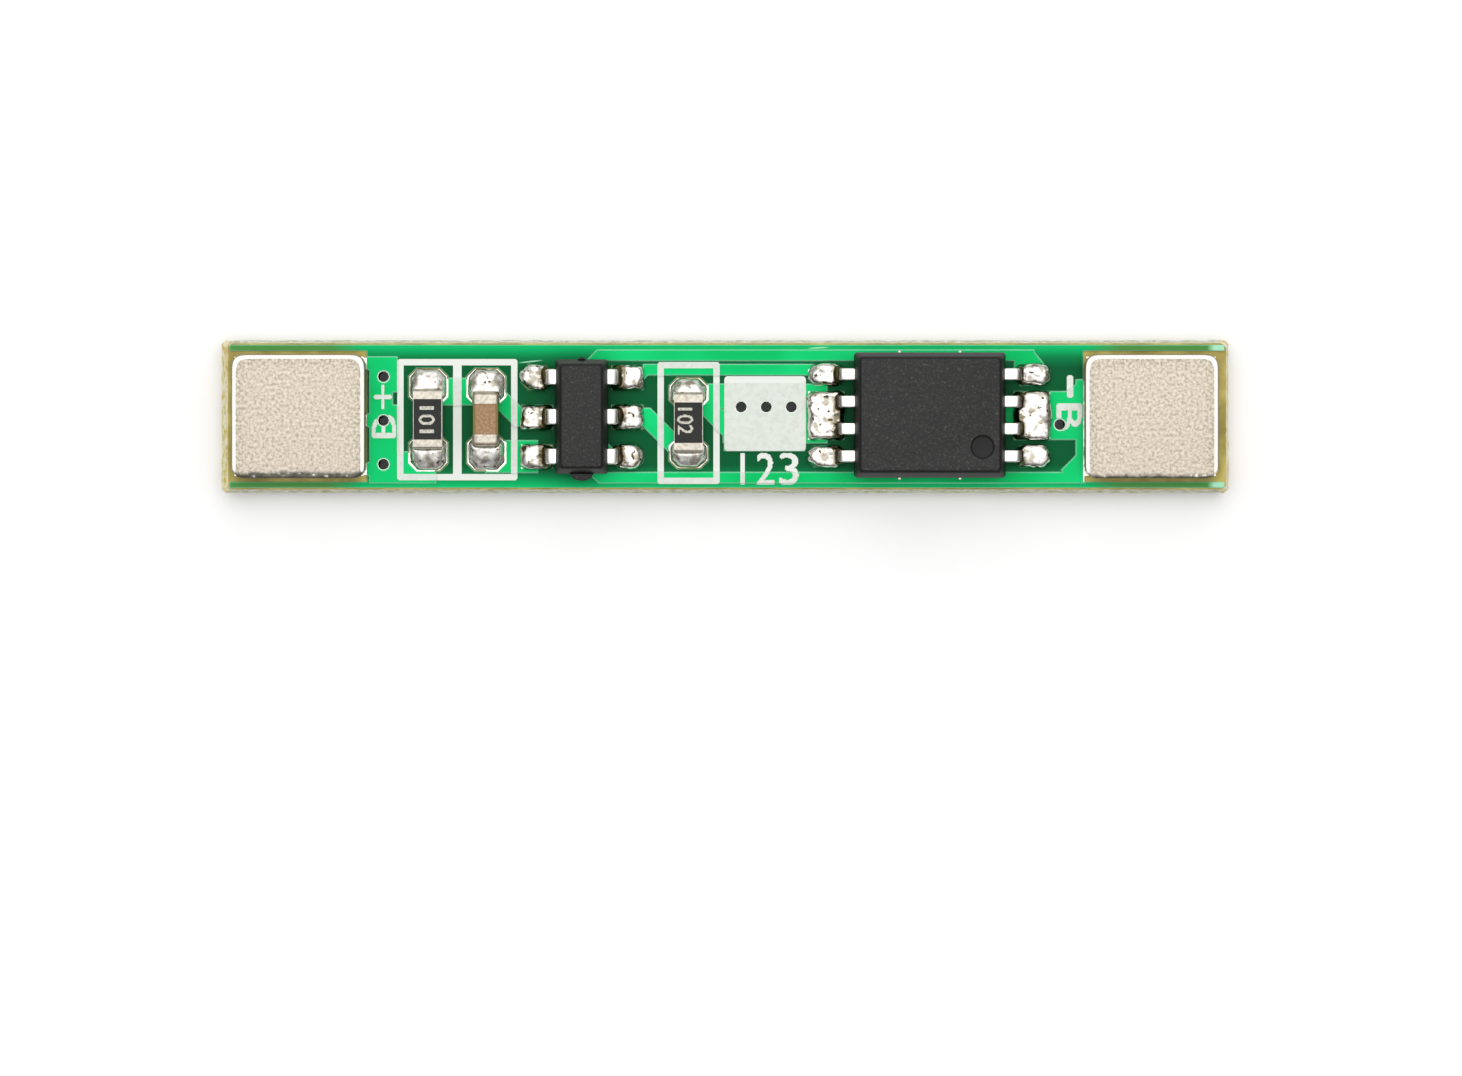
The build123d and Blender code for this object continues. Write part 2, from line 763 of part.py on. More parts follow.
def lead_side(half_width, reach, foot, parting):
    """Side of a formed lead, from its root over the shoulder to its tip, each bend in flats."""
    exit_z = housing_z + parting
    foot_z = joint_z + lead_gauge / 2
    tip = half_width + reach
    heel = tip - foot
    knee = heel - leg_splay
    points = [(half_width - lead_root, exit_z), (knee, exit_z), (heel, foot_z), (tip, foot_z)]
    line = FilletPolyline(*points, radius=lead_bend + lead_gauge / 2)
    stops = [(line @ 0, line % 0)]
    for bend in line.edges().filter_by(GeomType.CIRCLE):
        turns = [step / bend_flats for step in range(bend_flats + 1)]
        stops += [(bend @ turn, bend % turn) for turn in turns]
    stops.append((line @ 1, line % 1))
    above = [place + Vector(-run.Y, run.X) * (lead_gauge / 2) for place, run in stops]
    below = [place - Vector(-run.Y, run.X) * (lead_gauge / 2) for place, run in stops]
    return make_face(Polyline(*above, *reversed(below), close=True))


def gull_wing(x, y, side, half_width, reach, foot, parting, width):
    """One formed lead, pointing out from the middle of its chip to the left or the right."""
    face = lead_side(half_width, reach, foot, parting)
    lead = extrude(Plane.XZ * face, amount=width / 2, both=True)
    return Pos(x, y, 0) * (lead if side > 0 else Rot(0, 0, 180) * lead)


def controller_leads():
    """Six leads, counted round the chip from its lower right corner as the chip's maker does."""
    order = [(1, row) for row in reversed(controller_rows)] + [(-1, row) for row in controller_rows]
    return [gull_wing(controller_x, row, side, controller_width / 2, controller_lead_reach,
                      controller_foot, controller_parting, controller_lead_width)
            for side, row in order]


def transistor_leads():
    """Eight leads, counted the same way."""
    order = [(1, row) for row in reversed(transistor_rows)] + [(-1, row) for row in transistor_rows]
    return [gull_wing(transistor_x, row, side, transistor_width / 2, transistor_lead_reach,
                      transistor_foot, transistor_parting, transistor_lead_width)
            for side, row in order]


def housing(x, y, width, length, height, parting):
    """A moulded housing that tapers up and down from its parting line, with broken top edges."""
    top = housing_z + height
    levels = [
        (mould_draft, housing_z),
        (0, housing_z + parting),
        (mould_draft, top - housing_edge),
        (mould_draft + housing_edge, top),
    ]
    return loft([cut_outline(x, y, width - 2 * inset, length - 2 * inset, housing_corner, z)
                 for inset, z in levels], ruled=True)


def nub(x, y, width, reach, side):
    """What is left of the gate or the vent of the mould on an end of the housing."""
    lens = Pos(x, y) * Ellipse(width / 2, reach)
    outside = bar(x - width, y, x + width, y + 2 * side * reach)
    return slab(lens & outside, housing_z + controller_parting - nub_thickness / 2, nub_thickness)


def controller_housing(leads):
    """Housing of the control chip, with the gate's stub below and the vent's above."""
    body = housing(controller_x, controller_y, controller_width, controller_length,
                   controller_height, controller_parting)
    half = controller_length / 2
    seat = mould_draft * nub_thickness / 2 / controller_parting
    body += nub(controller_x, controller_y - half + seat, gate_width, gate_reach + seat, -1)
    body += nub(controller_x, controller_y + half - seat, vent_width, vent_reach + seat, 1)
    return body - leads


def transistor_housing(leads):
    """Housing of the switching chip, with the round dimple beside its first lead."""
    body = housing(transistor_x, transistor_y, transistor_width, transistor_length,
                   transistor_height, transistor_parting)
    dimple = Pos(transistor_x + transistor_width / 2 - dimple_to_side,
                 transistor_y - transistor_length / 2 + dimple_to_end) * Circle(dimple_diameter / 2)
    return body - slab(dimple, housing_z + transistor_height, -dimple_depth) - leads


def lead_joints(lands, lead_width, pitch, leads):
    """Solder that fills each land round the feet of the leads on one side of a chip."""
    joints = Part()
    for x, y, length, width, corner in lands:
        shared = pitch if width > pitch else 0
        crest = lead_width + shared + 2 * lead_joint_side
        shoulder_z = pad_z + lead_joint_rise * lead_joint_shoulder
        joints += heap([
            (x, y, length, width, pad_z),
            (x, y, length * lead_joint_waist, width * lead_joint_waist, shoulder_z),
            (x, y, length * lead_joint_crest, crest, pad_z + lead_joint_rise),
        ], max(corner, joint_corner))
    return joints - leads


def board_pieces():
    """Laminate, copper, plated holes, mask, print and tin."""
    pieces = {"laminate": laminate()}
    for name, net in top_nets.items():
        pieces[name] = conductor(net, topside_z, 1)
    for name, net in under_nets.items():
        pieces[name] = conductor(net, underside_z, -1)
    pieces["plated_holes_positive"] = plated_holes(column_vias + tab_vias)
    pieces["plated_holes_negative"] = plated_holes(negative_vias + source_vias)
    pieces["plated_holes_output"] = plated_holes(output_vias + covered_vias)
    pieces["solder_mask_top"] = film(mask_top_region(), top_copper, topside_z, 1, 0, mask_thickness)
    pieces["solder_mask_under"] = film(mask_under_region(), under_copper, underside_z, -1, 0,
                                       mask_thickness)
    pieces["printed_frame_pair"] = printed(pair_frame_region())
    pieces["printed_frame_sense"] = printed(sense_frame_region())
    pieces["printed_patch"] = printed(patch_region())
    pack_opening, output_opening, tongue = under_openings()
    positive_end = bar(0, -board_width, positive_land_right, board_width)
    negative_end = bar(negative_land_left, -board_width, board_length, board_width)
    pieces["tin_positive"] = tinned(under_positive_copper, positive_end)
    pieces["tin_pack_positive"] = tinned(under_positive_copper, pack_opening)
    pieces["tin_pack_negative"] = tinned(under_output_copper, output_opening)
    pieces["tin_negative"] = tinned(under_negative_copper, negative_end + tongue)
    return pieces


def tab_pieces():
    """The two nickel tabs on their beds of solder."""
    pieces = {}
    for name, x in (("positive", left_tab_x), ("negative", right_tab_x)):
        pieces["nickel_tab_" + name] = nickel_tab(x)
        pieces["tab_solder_" + name] = tab_bed(x)
    return pieces


def chip_pieces():
    """Two resistors and a capacitor with their joints."""
    pieces = {}
    for name, x, y, lands in (("supply_resistor", supply_x, pair_y, supply_lands),
                              ("sense_resistor", sense_x, sense_y, sense_lands)):
        for part_name, part in resistor(x, y).items():
            pieces[name + "_" + part_name] = part
        pieces[name + "_solder"] = chip_joints(lands, y, resistor_length, resistor_width,
                                               resistor_envelope(x, y))
    for part_name, part in capacitor(capacitor_x, pair_y).items():
        pieces["capacitor_" + part_name] = part
    pieces["capacitor_solder"] = chip_joints(capacitor_lands, pair_y, capacitor_length,
                                             capacitor_width,
                                             capacitor_envelope(capacitor_x, pair_y))
    return pieces


def lead_chip_pieces():
    """Both moulded chips, each lead a piece of its own, with the solder at their feet."""
    pieces = {}
    leads = controller_leads()
    pieces["controller_housing"] = controller_housing(leads)
    for number, lead in enumerate(leads, 1):
        pieces["controller_lead_" + str(number)] = lead
    for side_name, lands in (("left", controller_left), ("right", controller_right)):
        pieces["controller_solder_" + side_name] = lead_joints(lands, controller_lead_width,
                                                               controller_pitch, leads)
    leads = transistor_leads()
    pieces["transistor_housing"] = transistor_housing(leads)
    for number, lead in enumerate(leads, 1):
        pieces["transistor_lead_" + str(number)] = lead
    for side_name, lands in (("left", transistor_left), ("right", transistor_right)):
        pieces["transistor_solder_" + side_name] = lead_joints(lands, transistor_lead_width,
                                                               transistor_pitch, leads)
    return pieces


os.makedirs("parts", exist_ok=True)
to_origin = Pos(-board_length / 2, 0, 0)
for pieces in (board_pieces(), tab_pieces(), chip_pieces(), lead_chip_pieces()):
    for name, piece in pieces.items():
        export_step(to_origin * piece, "parts/" + name + ".step")
print("board", round(board_length, 3), "by", round(board_width, 3), "mm")
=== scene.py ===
from math import radians
import bpy
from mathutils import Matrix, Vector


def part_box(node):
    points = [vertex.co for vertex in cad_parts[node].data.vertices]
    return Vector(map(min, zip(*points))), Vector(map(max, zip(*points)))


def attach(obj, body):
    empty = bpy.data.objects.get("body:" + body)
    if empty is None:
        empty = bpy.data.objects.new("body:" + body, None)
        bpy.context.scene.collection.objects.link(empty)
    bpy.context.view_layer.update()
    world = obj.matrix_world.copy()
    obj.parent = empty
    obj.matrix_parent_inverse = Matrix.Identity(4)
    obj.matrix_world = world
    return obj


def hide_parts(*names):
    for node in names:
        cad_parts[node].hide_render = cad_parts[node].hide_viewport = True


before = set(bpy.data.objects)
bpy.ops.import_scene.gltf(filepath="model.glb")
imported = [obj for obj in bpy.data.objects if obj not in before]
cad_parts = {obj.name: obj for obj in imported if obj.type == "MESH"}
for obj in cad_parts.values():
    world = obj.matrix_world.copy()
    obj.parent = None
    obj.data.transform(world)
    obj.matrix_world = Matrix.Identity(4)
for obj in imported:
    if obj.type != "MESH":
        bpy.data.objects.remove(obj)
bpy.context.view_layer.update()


# LAMINATE
# Woven glass cloth in olive yellow epoxy, 0.8 mm thick. The board was scored along its edges on
# both faces and snapped out of a panel, which left pale torn fibres on the slopes of the groove.

# Sizes are in millimetres here and below, and this turns them to metres.
millimetre = 0.001
board_low, board_high = [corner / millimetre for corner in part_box("laminate")]
board_size = board_high - board_low
laminate_middle = (board_low.z + board_high.z) / 2
half_thickness = board_high.z - laminate_middle
snapped_corner = 0.28
outline_margin = 0.002
face_margin = 0.02
long_share = 0.8
tear_spacing = 0.15
tear_size = 0.35
tear_depth = 0.07


def only(*pieces):
    """Selects these pieces alone and makes the first one active."""
    bpy.ops.object.select_all(action="DESELECT")
    for piece in pieces:
        piece.select_set(True)
    bpy.context.view_layer.objects.active = pieces[0]


def traced(node, name):
    """A copy of a CAD node in millimetres, with its loose triangles merged into whole faces."""
    piece = bpy.data.objects.new(name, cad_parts[node].data.copy())
    bpy.context.scene.collection.objects.link(piece)
    piece.scale = [1 / millimetre] * 3
    only(piece)
    bpy.ops.object.transform_apply(location=False, rotation=False, scale=True)
    bpy.ops.object.mode_set(mode="EDIT")
    bpy.ops.mesh.select_all(action="SELECT")
    bpy.ops.mesh.remove_doubles(threshold=0.001)
    bpy.ops.mesh.dissolve_limited(angle_limit=radians(2))
    bpy.ops.object.mode_set(mode="OBJECT")
    return piece


def shaped(piece, kind, **settings):
    """Gives a piece one modifier with its settings and applies it."""
    only(piece)
    modifier = piece.modifiers.new(kind.title(), kind)
    for name, value in settings.items():
        setattr(modifier, name, value)
    bpy.ops.object.modifier_apply(modifier=modifier.name)


def selected_edges(piece, wanted):
    """Selects the edges whose two ends pass a test, and leaves the piece in edit mode."""
    only(piece)
    bpy.ops.object.mode_set(mode="EDIT")
    bpy.ops.mesh.select_mode(type="EDGE")
    bpy.ops.mesh.select_all(action="DESELECT")
    bpy.ops.object.mode_set(mode="OBJECT")
    mesh = piece.data
    for edge_highlight in mesh.edges:
        edge_highlight.select = wanted(*(mesh.vertices[index].co for index in edge_highlight.vertices))
    bpy.ops.object.mode_set(mode="EDIT")


def rounded_edges(piece, width, steps, wanted):
    """Rounds the edges whose two ends pass a test."""
    selected_edges(piece, wanted)
    bpy.ops.mesh.bevel(offset=width, segments=steps, affect="EDGES")
    bpy.ops.object.mode_set(mode="OBJECT")


def block(name, middle, size):
    """A plain block at its place, to be shaped further."""
    bpy.ops.object.select_all(action="DESELECT")
    bpy.ops.mesh.primitive_cube_add(size=1, location=middle)
    piece = bpy.context.object
    piece.name = name
    piece.scale = size
    bpy.ops.object.transform_apply(location=True, rotation=True, scale=True)
    return piece


def clouds(name, size):
    """A soft random field, with blobs of about this size in millimetres, to displace a mesh."""
    field = bpy.data.textures.new(name, "CLOUDS")
    field.noise_scale = size
    field.noise_depth = 2
    return field


def hex_colour(code):
    """An sRGB hex colour as linear light."""
    levels = [int(code[index:index + 2], 16) / 255 for index in (0, 2, 4)]
    return [*(v / 12.92 if v <= 0.04045 else ((v + 0.055) / 1.055) ** 2.4 for v in levels), 1]


def material(name):
    """A new material with nothing on its output."""
    made = bpy.data.materials.new(name)
    made.use_nodes = True
    made.node_tree.nodes.clear()
    made.node_tree.nodes.new("ShaderNodeOutputMaterial")
    return made


def add(owner, kind, settings):
    """Adds a node, and sets or links what the settings name. A shader goes to the output."""
    made = owner.node_tree.nodes.new("ShaderNode" + kind)
    for name, value in settings.items():
        if name == "stops":
            ramp = made.color_ramp
            while len(ramp.elements) < len(value):
                ramp.elements.new(1)
            for element, (position, code) in zip(ramp.elements, value):
                element.position = position
                element.color = hex_colour(code)
        elif isinstance(value, bpy.types.NodeSocket):
            owner.node_tree.links.new(value, made.inputs[name])
        elif isinstance(name, str) and hasattr(made, name):
            setattr(made, name, value)
        else:
            made.inputs[name].default_value = value
    if kind in ("BsdfPrincipled", "Background"):
        output = next(node for node in owner.node_tree.nodes if "Output" in node.bl_idname)
        owner.node_tree.links.new(made.outputs[0], output.inputs["Surface"])
    return made


def per_millimetre(size):
    """Scale of a texture in metres whose features are about this many millimetres apart."""
    return 1 / (size * millimetre)


def seat(piece, finish, slot, *nodes):
    """Brings a finished piece from millimetres to metres, gives it its material and hides the CAD nodes
    it replaces; slot is not used.
    """
    only(piece)
    piece.scale = [millimetre] * 3
    bpy.ops.object.transform_apply(location=True, rotation=True, scale=True)
    piece.data.materials.clear()
    piece.data.materials.append(finish)
    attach(piece, "root")
    if nodes:
        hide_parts(*nodes)


# Woven glass in epoxy: olive yellow where the mask leaves it bare, straw-pale where it was torn.
torn_below, flat_above = 0.012, 0.001
end_tint_from, end_tint_full = 0.32, 0.2
ply_squeeze = 3
laminate_finish = material("glass_epoxy_snapped_from_panel")
place = add(laminate_finish, "TexCoord", {}).outputs["Object"]
axes = add(laminate_finish, "SeparateXYZ", {0: place})
level = add(laminate_finish, "Math", {
    "operation": "SUBTRACT", 0: axes.outputs["Z"], 1: laminate_middle * millimetre})
height = add(laminate_finish, "Math", {"operation": "ABSOLUTE", 0: level.outputs[0]})
plies = add(laminate_finish, "Mapping", {"Vector": place, "Scale": (1, 1, ply_squeeze)})
fibre = add(laminate_finish, "TexNoise", {
    "Vector": plies.outputs[0], "Scale": per_millimetre(0.22), "Detail": 5.0, "Roughness": 0.7})
cloth = add(laminate_finish, "TexNoise", {
    "Vector": place, "Scale": per_millimetre(0.7), "Detail": 3.0})
torn = add(laminate_finish, "MapRange", {
    0: height.outputs[0], 1: (half_thickness - torn_below) * millimetre,
    2: (half_thickness - flat_above) * millimetre})
flat_colour = add(laminate_finish, "ValToRGB", {
    "stops": [(0.3, "8F7F35"), (0.5, "A99A47"), (0.68, "C4B45E")], 0: cloth.outputs[0]})
torn_colour = add(laminate_finish, "ValToRGB", {
    "stops": [(0.36, "8C8650"), (0.46, "B9B896"), (0.6, "DADDD0")], 0: fibre.outputs[0]})
torn_end_colour = add(laminate_finish, "ValToRGB", {
    "stops": [(0.38, "BFA93A"), (0.47, "D6C98E"), (0.6, "E6DFC9")], 0: fibre.outputs[0]})
along = add(laminate_finish, "Math", {"operation": "ABSOLUTE", 0: axes.outputs["X"]})
end_share = add(laminate_finish, "MapRange", {
    0: along.outputs[0], 1: (board_high.x - end_tint_from) * millimetre,
    2: (board_high.x - end_tint_full) * millimetre})
torn_blend = add(laminate_finish, "Mix", {
    "data_type": "RGBA", 0: end_share.outputs[0], 6: torn_colour.outputs[0],
    7: torn_end_colour.outputs[0]})
blend = add(laminate_finish, "Mix", {
    "data_type": "RGBA", 0: torn.outputs[0], 6: torn_blend.outputs[2], 7: flat_colour.outputs[0]})
weave = add(laminate_finish, "Bump", {
    "Strength": 0.6, "Distance": 0.03 * millimetre, "Height": fibre.outputs[0]})
add(laminate_finish, "BsdfPrincipled", {
    "Base Color": blend.outputs[2], "Roughness": 0.55, "Normal": weave.outputs[0]})

# The tear rounded the corners too, so the outline is cut with a block whose corners are round.
laminate = traced("laminate", "board_laminate")
outline_size = [side + outline_margin for side in board_size]
outline = block("outline", (board_low + board_high) / 2, outline_size)
rounded_edges(outline, snapped_corner, 6, lambda a, b: a.z != b.z)
shaped(laminate, "BOOLEAN", operation="INTERSECT", object=outline)
bpy.data.objects.remove(outline)
for axis in (0, 1):
    selected_edges(laminate, lambda a, b: abs(a[axis] - b[axis]) > long_share * board_size[axis])
    bpy.ops.mesh.subdivide(number_cuts=int(board_size[axis] / tear_spacing))
    bpy.ops.object.mode_set(mode="OBJECT")
torn_rows = laminate.vertex_groups.new(name="torn_rows")
for vertex in laminate.data.vertices:
    at = vertex.co
    from_side = min(at.x - board_low.x, board_high.x - at.x, at.y - board_low.y, board_high.y - at.y)
    if from_side < face_margin and abs(at.z - laminate_middle) < half_thickness - face_margin:
        torn_rows.add([vertex.index], 1, "REPLACE")
shaped(laminate, "DISPLACE", texture=clouds("torn_cloth", tear_size), texture_coords="LOCAL",
       strength=tear_depth, mid_level=1, vertex_group="torn_rows")
seat(laminate, laminate_finish, "glass_laminate", "laminate")


# COPPER AND PLATED HOLES
# Rolled copper foil etched into tracks and lands, with copper tubes grown through the drilled
# holes. What the lacquer leaves bare was dipped in tin, so a bare land or rim shines silver.


def dress(finish, *names):
    """Gives CAD nodes a material, and leaves their meshes as they are."""
    for name in names:
        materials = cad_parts[name].data.materials
        materials.clear()
        materials.append(finish)


# Hot-dipped tin over copper: bright and a little warm.
tinned_finish = material("tin_dipped_copper")
place = add(tinned_finish, "TexCoord", {}).outputs["Object"]
ripple = add(tinned_finish, "TexNoise", {
    "Vector": place, "Scale": per_millimetre(0.25), "Detail": 2.0})
swell = add(tinned_finish, "Bump", {
    "Strength": 0.7, "Distance": 0.03 * millimetre, "Height": ripple.outputs[0]})
tone = add(tinned_finish, "ValToRGB", {
    "stops": [(0.3, "C9C2B4"), (0.6, "F2F0EA")], 0: ripple.outputs[0]})
add(tinned_finish, "BsdfPrincipled", {
    "Base Color": tone.outputs[0], "Metallic": 1.0, "Roughness": 0.22,
    "Normal": swell.outputs[0]})
dress(tinned_finish, *(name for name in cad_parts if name.startswith("copper_")))

# A hole's tube: tin on its two rims, and painted dark green-black inside as the shade deep in the hole,
# green from lacquer that ran into it.
rim_from, rim_full = 0.02, 0.005
tube_finish = material("tube_with_painted_shade")
place = add(tube_finish, "TexCoord", {}).outputs["Object"]
axes = add(tube_finish, "SeparateXYZ", {0: place})
tube_low, tube_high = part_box("plated_holes_output")
level = add(tube_finish, "Math", {
    "operation": "SUBTRACT", 0: axes.outputs["Z"], 1: (tube_low.z + tube_high.z) / 2})
height = add(tube_finish, "Math", {"operation": "ABSOLUTE", 0: level.outputs[0]})
half_depth = (tube_high.z - tube_low.z) / 2
rim_share = add(tube_finish, "MapRange", {
    0: height.outputs[0], 1: half_depth - rim_from * millimetre,
    2: half_depth - rim_full * millimetre})
shade_mottle = add(tube_finish, "TexNoise", {
    "Vector": place, "Scale": per_millimetre(0.2), "Detail": 2.0})
# Painted shade: the inside of the tube is coloured near black green, not lit tin.
hole_shade_tone = add(tube_finish, "ValToRGB", {
    "stops": [(0.3, "06140B"), (0.7, "12341C")], 0: shade_mottle.outputs[0]})
tube_tone = add(tube_finish, "Mix", {
    "data_type": "RGBA", 0: rim_share.outputs[0], 6: hole_shade_tone.outputs[0], 7: hex_colour("E9EFE4")})
add(tube_finish, "BsdfPrincipled", {
    "Base Color": tube_tone.outputs[2], "Metallic": rim_share.outputs[0], "Roughness": 0.4,
    "Specular IOR Level": 0.05})
dress(tube_finish, "plated_holes_positive", "plated_holes_negative", "plated_holes_output")


# SOLDER MASK
# Green lacquer screened over both faces and cured hard. It is one even film, so it steps up over
# each track: bright green where copper shines back through it, deep green over bare laminate.

lacquer_film = 0.03
foil_step = 0.05
mask_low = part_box("copper_sense")[0].z / millimetre + lacquer_film
mask_high = mask_low + foil_step
step_round = 0.05
step_share = 0.24

# Where the lacquer over bare laminate starts to pale towards the long sides and the two ends, and where
# it is palest, from the middle of the board. Towards the middle it is painted darker as the shade among
# the parts; towards the sides the film is also thinner.
side_from, side_full = 1.30, 1.85
end_from, end_full = 9.7, 10.6


def green_lacquer(name, bare_level, copper_level, bare_and_shade_stops, thin_spots=()):
    """Glossy epoxy lacquer, brighter over copper, with a painted pale highlight on the shoulder of each
    track step.
    """
    finish = material(name)
    place = add(finish, "TexCoord", {}).outputs["Object"]
    axes = add(finish, "SeparateXYZ", {0: place})
    across = add(finish, "Math", {"operation": "ABSOLUTE", 0: axes.outputs["Y"]})
    along = add(finish, "Math", {"operation": "ABSOLUTE", 0: axes.outputs["X"]})
    rim = add(finish, "MapRange", {
        0: across.outputs[0], 1: side_from * millimetre, 2: side_full * millimetre})
    # Painted shade: bare lacquer is darkest along the middle of the board, among the parts, and paler
    # towards the long sides.
    shaded_bare_colour = add(finish, "ValToRGB", {"stops": bare_and_shade_stops, 0: rim.outputs[0]})
    end = add(finish, "MapRange", {
        0: along.outputs[0], 1: end_from * millimetre, 2: end_full * millimetre})
    end_colour = add(finish, "Mix", {
        "data_type": "RGBA", 0: end.outputs[0], 6: shaded_bare_colour.outputs[0], 7: hex_colour("4C8F46")})
    drift = add(finish, "TexNoise", {
        "Vector": place, "Scale": per_millimetre(2.5), "Detail": 2.0})
    copper_colour = add(finish, "ValToRGB", {
        "stops": [(0.35, "12D47A"), (0.65, "04BC64")], 0: drift.outputs[0]})
    raised = add(finish, "MapRange", {
        0: axes.outputs["Z"],
        1: ((1 - step_share) * bare_level + step_share * copper_level) * millimetre,
        2: (step_share * bare_level + (1 - step_share) * copper_level) * millimetre})
    body_colour = add(finish, "Mix", {
        "data_type": "RGBA", 0: raised.outputs[0], 6: end_colour.outputs[2],
        7: copper_colour.outputs[0]})
    rounded = add(finish, "Bevel", {"samples": 6, "Radius": step_round * millimetre})
    facing = add(finish, "NewGeometry", {})
    likeness = add(finish, "VectorMath", {
        "operation": "DOT_PRODUCT", 0: rounded.outputs[0], 1: facing.outputs["Normal"]})
    # Painted highlight: pale green where the rounded normal turns away from the true one, along every
    # step over a track.
    edge_highlight = add(finish, "MapRange", {0: likeness.outputs["Value"], 1: 0.99, 2: 0.80})
    colour = add(finish, "Mix", {
        "data_type": "RGBA", 0: edge_highlight.outputs[0], 6: body_colour.outputs[2],
        7: hex_colour("A0EBC6")})
    for x, y, turn, half_length, half_width in thin_spots:
        stroke = add(finish, "Mapping", {
            "vector_type": "TEXTURE", "Vector": place, "Rotation": (0, 0, radians(turn)),
            "Location": (x * millimetre, y * millimetre, 0),
            "Scale": (half_length * millimetre, half_width * millimetre, 1)})
        fade = add(finish, "TexGradient", {"gradient_type": "SPHERICAL", 0: stroke.outputs[0]})
        scuff = add(finish, "MapRange", {0: fade.outputs[1], 1: 0.0, 2: 0.5})
        colour = add(finish, "Mix", {
            "data_type": "RGBA", 0: scuff.outputs[0], 6: colour.outputs[2],
            7: hex_colour("A6E2BE")})
    orange_peel = add(finish, "TexNoise", {
        "Vector": place, "Scale": per_millimetre(0.3), "Detail": 1.0})
    skin = add(finish, "Bump", {
        "Strength": 0.15, "Distance": 0.01 * millimetre, "Height": orange_peel.outputs[0],
        "Normal": rounded.outputs[0]})
    add(finish, "BsdfPrincipled", {
        "Base Color": colour.outputs[2], "Roughness": 0.3, "Specular IOR Level": 0.05,
        "Normal": skin.outputs[0]})
    return finish


# Two pale scuffs and two thin corners: middle, turn in degrees, half the length, half the width.
worn_places = ((-5.195, 1.462, 6, 0.36, 0.022), (2.495, 1.83, 3, 0.32, 0.022),
               (13.24, 1.83, 0, 0.36, 0.22), (13.24, -1.82, 0, 0.36, 0.22))
top_lacquer = green_lacquer(
    "green_epoxy_lacquer", mask_low, mask_high,
    [(0.0, "03592F"), (0.5, "047C45"), (1.0, "06B869")], worn_places)
dress(top_lacquer, "solder_mask_top")
under_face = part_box("solder_mask_under")[0].z / millimetre
under_lacquer = green_lacquer(
    "green_epoxy_lacquer_underside", under_face + foil_step, under_face,
    [(0.0, "03914F"), (0.5, "04964F"), (1.0, "06A15A")])
dress(under_lacquer, "solder_mask_under")


# PRINT
# White epoxy ink screened onto the mask: two frames round the small chips, and a solid patch.

# Matt ink, whiter over bare laminate than over copper, whose green shows faintly through it.
ink_over_bare = mask_low + 0.03
ink_over_copper = mask_high + 0.01
ink_finish = material("white_screen_ink")
place = add(ink_finish, "TexCoord", {}).outputs["Object"]
axes = add(ink_finish, "SeparateXYZ", {0: place})
over_copper = add(ink_finish, "MapRange", {
    0: axes.outputs["Z"], 1: ink_over_bare * millimetre, 2: ink_over_copper * millimetre})
speck = add(ink_finish, "TexNoise", {
    "Vector": place, "Scale": per_millimetre(0.12), "Detail": 3.0})
ink_tone = add(ink_finish, "ValToRGB", {
    "stops": [(0.3, "CFD5CC"), (0.6, "DAE0D7")], 0: speck.outputs[0]})
ink_colour = add(ink_finish, "Mix", {
    "data_type": "RGBA", 0: over_copper.outputs[0], 6: hex_colour("E2E6DF"),
    7: ink_tone.outputs[0]})
grit = add(ink_finish, "Bump", {
    "Strength": 0.3, "Distance": 0.01 * millimetre, "Height": speck.outputs[0]})
add(ink_finish, "BsdfPrincipled", {
    "Base Color": ink_colour.outputs[2], "Roughness": 0.6, "Specular IOR Level": 0.2,
    "Normal": grit.outputs[0]})
dress(ink_finish, "printed_frame_pair", "printed_frame_sense", "printed_patch")


# PRINTED MARKS
# Marks of the terminals in the same ink, plus and minus with the letter of the cell (B) or the
# pack (P), and the numbers 1 to 3 beside the patch. The film follows the lacquer over the tracks.

ink_thickness = 0.02
ink_grid = 0.02
ink_spread = 0.045
letter_depth = 0.1
hover = 0.2
missed_share = 0.1


def without(piece, kind, unwanted):
    """Deletes the vertices or the faces that pass a test."""
    only(piece)
    bpy.ops.object.mode_set(mode="EDIT")
    bpy.ops.mesh.select_mode(type=kind)
    bpy.ops.mesh.select_all(action="DESELECT")
    bpy.ops.object.mode_set(mode="OBJECT")
    for part in piece.data.vertices if kind == "VERT" else piece.data.polygons:
        part.select = unwanted(part)
    bpy.ops.object.mode_set(mode="EDIT")
    bpy.ops.mesh.delete(type=kind)
    bpy.ops.object.mode_set(mode="OBJECT")


